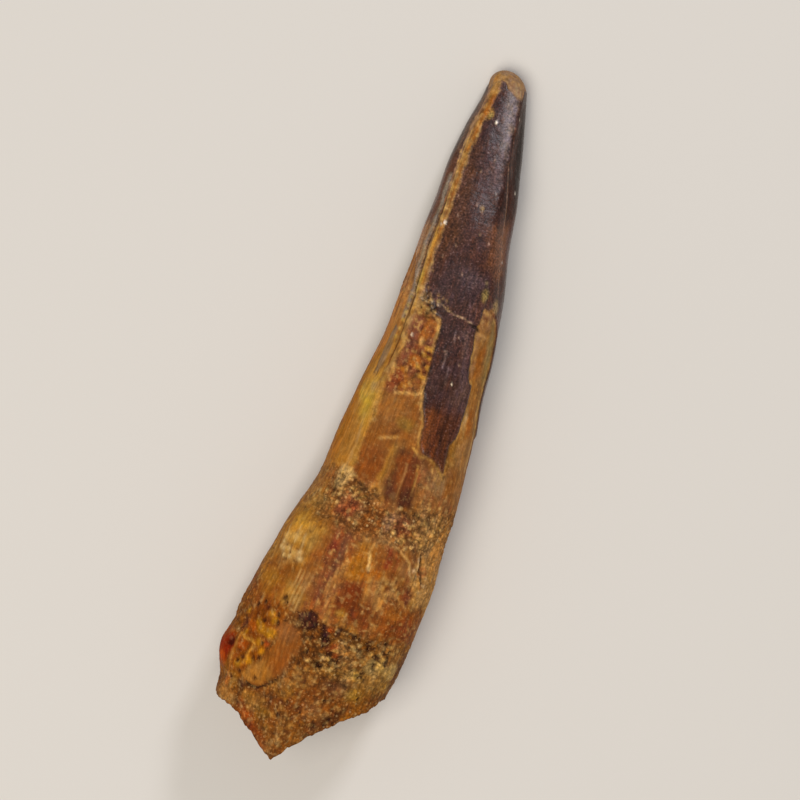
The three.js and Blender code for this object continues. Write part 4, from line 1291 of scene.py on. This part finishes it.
# %% Large forms: ridges, facets and lumps
CUTTING_EDGES = (-40, 143)  # around
EDGE_WIDTH, EDGE_HEIGHT = 0.42, 0.24
EDGE_FADES = (36, 42)  # along
FACET_RIDGE = [(43, 2), (40, 4.5), (33, 8), (32, 18)]
FACET_RIDGE_WIDTH, FACET_RIDGE_HEIGHT = 0.75, 0.17
FACET_MIDDLE, FACET_WIDTH, FACET_DEPTH = 60, 1.2, 0.16
FACET_FADES = (16, 24)
SWELLS = [(0.07, 0.45, 2, 0.0), (0.05, 0.83, -3, 1.3)]  # height, per mm, turns around, phase
SWELLS_BEGIN = (4, 14)
LUMPS = [  # around, along, half-width, half-length, height
    (-78, 62.7, 2.3, 2.0, 0.75),
    (-88, 58.6, 2.4, 2.0, 0.28),
    (-74, 65.6, 1.6, 0.6, -0.4),
    (-68, 67.3, 1.3, 0.8, 0.35),
    (-20, 29.0, 2.1, 3.4, -0.3),
    (-18, 27.0, 0.9, 0.9, 0.22),
    (-27, 29.6, 0.9, 1.3, 0.2),
    (-52, 50.2, 3.4, 2.8, 0.35),
    (25, 49.9, 2.4, 2.0, 0.22),
    (51, 49.6, 0.35, 1.6, -0.4),
    (-12, 43.6, 2.4, 0.5, -0.22),
    (-20, 62.0, 2.0, 3.6, 0.2),
    (-14, 57.8, 1.0, 0.9, -0.3),
    (5, 58.5, 0.8, 1.1, -0.2),
    (-63, 60.2, 0.7, 0.6, -0.35),
    (24, 62.2, 0.7, 0.7, -0.3),
    (8, 67.3, 2.2, 1.2, -0.25),
    (52, 60.0, 2.4, 2.0, 0.25),
    (150, 52.0, 3.2, 3.4, 0.3),
    (-150, 46.0, 2.6, 2.4, 0.25),
    (118, 60.5, 3.0, 2.6, 0.3),
    (-118, 56.5, 2.4, 2.2, -0.35),
    (128, 44.0, 1.6, 1.0, -0.35),
    (-160, 31.5, 2.0, 2.6, -0.25),
]
ridge = sum(np.exp(-((arc_from(at) / EDGE_WIDTH) ** 2)) for at in CUTTING_EDGES)
relief += EDGE_HEIGHT * ridge * (1 - smoothstep(along, *EDGE_FADES))
from_ridge = 0.2 - strip(0.2, *FACET_RIDGE)
facet = FACET_RIDGE_HEIGHT * np.exp(-((from_ridge / FACET_RIDGE_WIDTH) ** 2))
facet -= FACET_DEPTH * np.exp(-((arc_from(FACET_MIDDLE) / FACET_WIDTH) ** 2))
relief += facet * (1 - smoothstep(along, *FACET_FADES))
for at, down, half_across, half_along, height in LUMPS:
    relief += height * np.exp(-((arc_from(at) / half_across) ** 2) - ((along - down) / half_along) ** 2)
for height, per_mm, turns, phase in SWELLS:
    swell = height * np.sin(per_mm * along + turns * np.radians(around) + phase)
    relief += swell * smoothstep(along, *SWELLS_BEGIN)
print("relief from", relief.min().round(2), "to", relief.max().round(2), "mm")

# %% The crack in the root's right side
crack = strip(0.2, (47, 48.2), (50, 49), (53, 49.6), (55.5, 50.3), (58, 50.9))
lay(crack, "#38200f", 0.9, 0.14, -0.2)
scatter(
    [(58, 49.7), (53, 50.1), (57, 51.2), (50.5, 49.5), (55, 49.4)],
    0.24, 0.22, "#8f5424", 0.8, 0.15, 0.08,
)
scatter(
    [(50, 50.4), (60, 50.2), (56.5, 51.7), (47, 49.4), (61, 51), (44, 49.8)],
    0.2, 0.16, "#d8b884", 0.75, 0.13, 0.07,
)
lay(strip(0.1, (45, 48.6), (48, 49.8), (50, 50.6)), PALE_CREAM, 0.6, 0.1, 0.04)
print("points in the crack:", int((crack > 0).sum()))

# %% Small forms: grains, fibres and roughness
ROOT_BEGINS, WRINKLES_BEGIN = (25, 44), (2, 5)  # along
ENAMEL_WRINKLE = 0.012
GRAIN_LEVEL = 0.6  # the part of a grain that lies at the skin
root = smoothstep(along, *ROOT_BEGINS) * (1 - enamel)
grain_height = 0.09 * (grains - GRAIN_LEVEL) + 0.05 * (small_grains - GRAIN_LEVEL)
relief += sand * (grain_height + 0.12 * lump + 0.04 * pimple)
relief += (1 - sand) * root * (0.05 * lump + 0.03 * pimple + 0.03 * band)
relief += ENAMEL_WRINKLE * enamel * (streak + pimple) * smoothstep(along, *WRINKLES_BEGIN)
print("relief from", relief.min().round(2), "to", relief.max().round(2), "mm")

# %% Move every point
MM_PER_METRE = 1000
skin = plain_skin + facing * (relief * tip_rounding(along))[:, None]
skin = close_end(skin)
roughness_of_end = 0.9 * rough(3.0, 1.0, 20.3) + 0.3 * rough(0.9, 1.0, 22.7) + 0.14 * (grains - 0.5)
skin[:, 1] -= roughness_of_end * smoothstep(end_share, 0, END_BLEND)
skin[:, 2] = np.maximum(skin[:, 2], 0)
low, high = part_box("tooth")
shift_x = (low.x + high.x) / 2 * MM_PER_METRE - (skin[:, 0].min() + skin[:, 0].max()) / 2
shift_y = (low.y + high.y) / 2 * MM_PER_METRE - (skin[:, 1].min() + skin[:, 1].max()) / 2
skin += (shift_x, shift_y, 0)
print("moved by", round(shift_x, 3), round(shift_y, 3), "mm")
print("size", (skin.max(0) - skin.min(0)).round(2), "mm")

# %% [markdown]
# ## The broken face's finish
# The wall of dentine shows as an orange brown ring with growth rings in it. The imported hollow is
# sandstone like the crust, paler and with dark gaps.

# %% Stain the broken end
WALL_EDGE, HOLLOW_EDGE = 0.05, 0.08
GROWTH_RINGS_TURN = 95  # radians from the rim to the middle
hollow = smoothstep(end_share, HOLLOW_START, HOLLOW_START + HOLLOW_EDGE)
wall = smoothstep(end_share, 0.0, WALL_EDGE) * (1 - hollow)
growth = 0.5 + 0.5 * np.sin(end_share * GROWTH_RINGS_TURN + 3 * lump)
blend(sand, wall, 0.25)
blend(sand, hollow, 0.95)
tint(wall, "#8a5a2c")
tint(0.5 * wall * growth, "#a8743a")
tint(0.5 * wall * smoothstep(cloud, 0.0, 0.4), "#7c3f1a")
tint(hollow, "#8f6c3c")
tint(0.6 * hollow * smoothstep(blotch, 0.0, 0.4), "#b0945c")
tint(0.6 * hollow * smoothstep(-cloud, 0.1, 0.4), "#6e4420")
tint(0.7 * hollow * (1 - grains), "#3c2210")
seam = np.exp(-(((end_share - HOLLOW_START - HOLLOW_EDGE / 2) / 0.03) ** 2))
tint(0.6 * seam, "#4a2812")
print("end face mean stain:", stain[on_end].mean(0).round(3))

# %% Make the mesh
for vertex, place in zip(grid.verts, skin / MM_PER_METRE):
    vertex.co = place
for face in grid.faces:
    face.smooth = True
tooth_mesh = bpy.data.meshes.new("fossil_tooth")
grid.to_mesh(tooth_mesh)
grid.free()
tooth = bpy.data.objects.new("fossil_tooth", tooth_mesh)
bpy.context.scene.collection.objects.link(tooth)
stain_layer = tooth_mesh.attributes.new("stain", "FLOAT_COLOR", "POINT")
opaque_stain = np.column_stack([stain, np.ones(len(stain))]).astype(np.float32)
stain_layer.data.foreach_set("color", opaque_stain.ravel())
layers = {"sand": sand, "enamel": enamel, "fibre": fibre, "calm": calm}
for name, layer in layers.items():
    attribute = tooth_mesh.attributes.new(name, "FLOAT", "POINT")
    attribute.data.foreach_set("value", layer.astype(np.float32))
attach(tooth, "root")
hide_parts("tooth")
print("triangles:", sum(len(face.vertices) - 2 for face in tooth_mesh.polygons))

# %% [markdown]
# ## The fossil's material
# The enamel and dentine are apatite, a mineral with an index of refraction near 1.6, and the
# crust is quartz sand. The enamel is smooth and gives a soft sheen, the dentine is duller and
# fibrous, and the sand is rough. One material reads the layers, so each melts into the next, and
# adds what is too fine to carve: mottling, fibres and the smallest grains.

# %% A helper that adds a node
def add_node(kind, sockets, **settings):
    """Adds a node. A socket is given a value, or another node's output to link."""
    node = tree.nodes.new("ShaderNode" + kind)
    for name, value in settings.items():
        setattr(node, name, value)
    for name, value in sockets.items():
        if isinstance(value, bpy.types.NodeSocket):
            tree.links.new(value, node.inputs[name])
        else:
            node.inputs[name].default_value = value
    return node


def per_metre(size):
    """A pattern's scale, from its size in millimetres."""
    return MM_PER_METRE / size


def paint(colour):
    """A colour socket's value, from an sRGB hex colour."""
    return (*linear(colour), 1.0)


fossil = bpy.data.materials.new("apatite_and_sandstone")
fossil.use_nodes = True
tree = fossil.node_tree
tree.nodes.clear()
place = add_node("TexCoord", {}).outputs["Object"]
stain_at = add_node("Attribute", {}, attribute_name="stain").outputs["Color"]
sand_at, enamel_at, fibre_at, calm_at = [
    add_node("Attribute", {}, attribute_name=name).outputs["Fac"] for name in layers
]
print("material:", fossil.name)

# %% Mottling: clouds of 0.6 mm, and specks of 0.2 mm that show most on the enamel
mottle = add_node(
    "TexNoise", {"Vector": place, "Scale": per_metre(0.6), "Detail": 4.0, "Roughness": 0.6}
).outputs[0]
speck = add_node(
    "TexNoise", {"Vector": place, "Scale": per_metre(0.2), "Detail": 1.0, "Roughness": 0.5}
).outputs[0]
liveliness = add_node("Math", {0: calm_at, 1: -0.7, 2: 1.0}, operation="MULTIPLY_ADD").outputs[0]
clouds = add_node("Math", {0: enamel_at, 1: -0.5, 2: 2.1}, operation="MULTIPLY_ADD").outputs[0]
specks = add_node("Math", {0: enamel_at, 1: 1.9, 2: 0.6}, operation="MULTIPLY_ADD").outputs[0]
specks = add_node("Math", {0: sand_at, 1: 0.5, 2: specks}, operation="MULTIPLY_ADD").outputs[0]
shades = []
for pattern, strength in [(mottle, clouds), (speck, specks)]:
    strength = add_node("Math", {0: strength, 1: liveliness}, operation="MULTIPLY").outputs[0]
    centred = add_node("Math", {0: pattern, 1: 0.5}, operation="SUBTRACT").outputs[0]
    shaded = add_node("Math", {0: centred, 1: strength, 2: 1.0}, operation="MULTIPLY_ADD").outputs[0]
    shades.append(shaded)
print("nodes in the material:", len(tree.nodes))

# %% Fibres: 0.25 mm across and about ten times as long
along_fibres = add_node("Mapping", {"Vector": place, "Scale": (1.0, 0.09, 1.0)}).outputs[0]
fibres = add_node(
    "TexNoise", {"Vector": along_fibres, "Scale": per_metre(0.25), "Detail": 3.0, "Roughness": 0.6}
).outputs[0]
fibred = add_node("Math", {0: fibres, 1: 2.6, 2: -1.3}, operation="MULTIPLY_ADD").outputs[0]
shades.append(add_node("Math", {0: fibred, 1: fibre_at, 2: 1.0}, operation="MULTIPLY_ADD").outputs[0])
print("nodes in the material:", len(tree.nodes))

# %% Sand: grains of 0.34 mm, some dark and some bright, with gaps between them
cells = add_node("TexVoronoi", {"Vector": place, "Scale": per_metre(0.34)})
chances = add_node("SeparateColor", {0: cells.outputs["Color"]})
bright = add_node("Math", {0: chances.outputs[0], 1: 1.5}, operation="POWER").outputs[0]
bright = add_node("Math", {0: bright, 1: 0.7, 2: 0.74}, operation="MULTIPLY_ADD").outputs[0]
gap = add_node(
    "MapRange",
    {"Value": cells.outputs["Distance"], "From Min": 0.3, "From Max": 0.7, "To Min": 1.0, "To Max": 0.68},
    interpolation_type="SMOOTHSTEP",
).outputs[0]
grainy = add_node("Math", {0: bright, 1: gap}, operation="MULTIPLY").outputs[0]
grainy = add_node("Math", {0: grainy, 1: 1.0}, operation="SUBTRACT").outputs[0]
shades.append(add_node("Math", {0: grainy, 1: sand_at, 2: 1.0}, operation="MULTIPLY_ADD").outputs[0])
print("nodes in the material:", len(tree.nodes))

# %% Hue: the stain drifts between warm and cool in short streaks
along_streaks = add_node("Mapping", {"Vector": place, "Scale": (1.0, 0.4, 1.0)}).outputs[0]
drift = add_node(
    "TexNoise", {"Vector": along_streaks, "Scale": per_metre(0.7), "Detail": 4.0, "Roughness": 0.65}
).outputs[0]
drift = add_node(
    "MapRange", {"Value": drift, "From Min": 0.34, "From Max": 0.66}, interpolation_type="SMOOTHSTEP"
).outputs[0]
warm, cool = paint("#fff0d2"), paint("#f4f2ff")
hue = add_node("Mix", {0: drift, 6: warm, 7: cool}, data_type="RGBA").outputs[2]
print("nodes in the material:", len(tree.nodes))

# %% The colour: the stain, shaded by all of these
OVERALL_SHADE = 1.06
shade = shades[0]
for factor in (*shades[1:], OVERALL_SHADE):
    shade = add_node("Math", {0: shade, 1: factor}, operation="MULTIPLY").outputs[0]
shaded = add_node("VectorMath", {0: stain_at, 1: hue}, operation="MULTIPLY").outputs[0]
shaded = add_node("VectorMath", {0: shaded, "Scale": shade}, operation="SCALE").outputs[0]
print("nodes in the material:", len(tree.nodes))

# %% Pale specks, partly painted glints; grains of clear quartz; and painted glints on the few grains that catch the light
on_dentine, on_enamel = paint("#cea062"), paint("#86706c")
pale_colour = add_node("Mix", {0: enamel_at, 6: on_dentine, 7: on_enamel}, data_type="RGBA").outputs[2]
core = add_node(
    "MapRange",
    {"Value": cells.outputs["Distance"], "From Min": 0.15, "From Max": 0.5, "To Min": 1.0, "To Max": 0.0},
    interpolation_type="SMOOTHSTEP",
).outputs[0]
off_enamel = add_node("Math", {0: 1.0, 1: enamel_at}, operation="SUBTRACT").outputs[0]
rough_place = add_node("Math", {0: off_enamel, 1: sand_at}, operation="MULTIPLY").outputs[0]
bright_marks = [  # what draws it, where it begins and is full, its strength, what limits it, its colour
    # pale specks: pale flecks on the enamel, and on the dentine partly painted glints
    (speck, 0.6, 0.8, 0.38, [liveliness], pale_colour),
    (chances.outputs[1], 0.7, 0.95, 0.35, [core, sand_at], paint("#cc9d5c")),
    # painted highlights: white glints on a few grains of the crust
    (chances.outputs[2], 0.85, 0.97, 0.42, [core, rough_place], paint("#dfbb80")),
]
colour = shaded
for pattern, begins, full, strength, limits, mark_colour in bright_marks:
    share = add_node(
        "MapRange",
        {"Value": pattern, "From Min": begins, "From Max": full, "To Min": 0.0, "To Max": strength},
        interpolation_type="SMOOTHSTEP",
    ).outputs[0]
    for limit in limits:
        share = add_node("Math", {0: share, 1: limit}, operation="MULTIPLY").outputs[0]
    colour = add_node("Mix", {0: share, 6: colour, 7: mark_colour}, data_type="RGBA").outputs[2]
print("nodes in the material:", len(tree.nodes))

# %% The finish: gloss, and a bump whose height is in millimetres
matt = add_node("MapRange", {"Value": enamel_at, "To Min": 0.66, "To Max": 0.34}).outputs[0]
matt = add_node("Math", {0: sand_at, 1: 0.18, 2: matt}, operation="MULTIPLY_ADD").outputs[0]
matt = add_node("Math", {0: calm_at, 1: -0.1, 2: matt}, operation="MULTIPLY_ADD").outputs[0]
patchy = add_node("Math", {0: mottle, 1: 0.2, 2: -0.1}, operation="MULTIPLY_ADD").outputs[0]
matt = add_node("Math", {0: matt, 1: patchy}, operation="ADD").outputs[0]
height = add_node("Math", {0: mottle, 1: 0.05}, operation="MULTIPLY").outputs[0]
for pattern, raised, where in [(fibres, 0.05, fibre_at), (gap, 0.08, sand_at)]:
    added = add_node("Math", {0: pattern, 1: raised}, operation="MULTIPLY").outputs[0]
    height = add_node("Math", {0: added, 1: where, 2: height}, operation="MULTIPLY_ADD").outputs[0]
bump = add_node("Bump", {"Strength": 1.0, "Distance": 1 / MM_PER_METRE, "Height": height}).outputs[0]
gleam = add_node("MapRange", {"Value": enamel_at, "To Min": 0.1, "To Max": 0.28}).outputs[0]
gleam = add_node("Math", {0: gleam, 1: liveliness}, operation="MULTIPLY").outputs[0]
shader = add_node(
    "BsdfPrincipled",
    {"Base Color": colour, "Roughness": matt, "IOR": 1.55, "Specular IOR Level": gleam, "Normal": bump},
)
add_node("OutputMaterial", {"Surface": shader.outputs[0]})
tooth_mesh.materials.append(fossil)
print("nodes in the material:", len(tree.nodes))

# %% [markdown]
# ## Floor, light and camera
# A pale matt floor, a large soft light almost overhead, and a small, cooler one beyond the tip
# that draws the sheen along the enamel. The camera looks straight down from about 0.44 m through
# a long lens, so the near side of the tooth isn't stretched.

# %% The floor
FLOOR_HALF_SIZE = 1.5  # metres
FLOOR_DROP = 0.00004  # metres, so that the floor and the flats under the tooth don't flicker
floor_mesh = bpy.data.meshes.new("floor")
floor_grid = bmesh.new()
bmesh.ops.create_grid(floor_grid, x_segments=1, y_segments=1, size=FLOOR_HALF_SIZE)
floor_grid.to_mesh(floor_mesh)
floor_grid.free()
floor = bpy.data.objects.new("floor", floor_mesh)
bpy.context.scene.collection.objects.link(floor)
floor_paint = bpy.data.materials.new("matt_board")
floor_paint.use_nodes = True
board = floor_paint.node_tree.nodes["Principled BSDF"]
board.inputs["Base Color"].default_value = paint("#d8d4cc")
board.inputs["Roughness"].default_value = 0.9
floor_mesh.materials.append(floor_paint)
floor.location.z = -FLOOR_DROP
print("floor:", 2 * FLOOR_HALF_SIZE, "m across")

# %% The lights
LIGHT_DISTANCE = 0.5  # metres
LIGHTS = [  # name, direction, size in metres, power in watts, colour
    ("soft_box", (-0.16, -0.3, 0.94), 0.3, 1.75, "#fff8f0"),
    ("tip_light", (0.12, 0.76, 0.64), 0.1, 0.8, "#f2f2fa"),
]
for name, direction, size, power, light_colour in LIGHTS:
    lamp = bpy.data.lights.new(name, "AREA")
    lamp.size = size
    lamp.energy = power
    lamp.color = linear(light_colour)
    light = bpy.data.objects.new(name, lamp)
    light.location = Vector(direction).normalized() * LIGHT_DISTANCE
    light.rotation_euler = light.location.to_track_quat("Z", "Y").to_euler()
    bpy.context.scene.collection.objects.link(light)
world = bpy.data.worlds.new("studio")
world.use_nodes = True
background = world.node_tree.nodes["Background"]
background.inputs["Color"].default_value = paint("#f4f4f8")
background.inputs["Strength"].default_value = 0.3
bpy.context.scene.world = world
bpy.context.scene.view_settings.view_transform = "Standard"
print("lights:", [name for name, *_ in LIGHTS])

# %% The camera
FOCAL_LENGTH, SENSOR_WIDTH = 200, 36  # millimetres
VIEW_WIDTH = 0.0789  # metres across the view, at the tooth's middle
VIEW_TURN = 19.6  # degrees that the camera is turned about its line of sight
VIEW_CENTRE = (-0.363, 1.35)  # millimetres
TOOTH_MIDDLE_HEIGHT = 0.0062  # metres
lens = bpy.data.cameras.new("camera")
lens.lens = FOCAL_LENGTH
lens.sensor_width = SENSOR_WIDTH
camera = bpy.data.objects.new("camera", lens)
distance = VIEW_WIDTH * FOCAL_LENGTH / SENSOR_WIDTH
camera_x = (VIEW_CENTRE[0] + shift_x) / MM_PER_METRE
camera_y = (VIEW_CENTRE[1] + shift_y) / MM_PER_METRE
camera.location = (camera_x, camera_y, distance + TOOTH_MIDDLE_HEIGHT)
camera.rotation_euler = (0, 0, math.radians(VIEW_TURN))
bpy.context.scene.collection.objects.link(camera)
bpy.context.scene.camera = camera
print("camera distance:", round(distance, 3), "m")
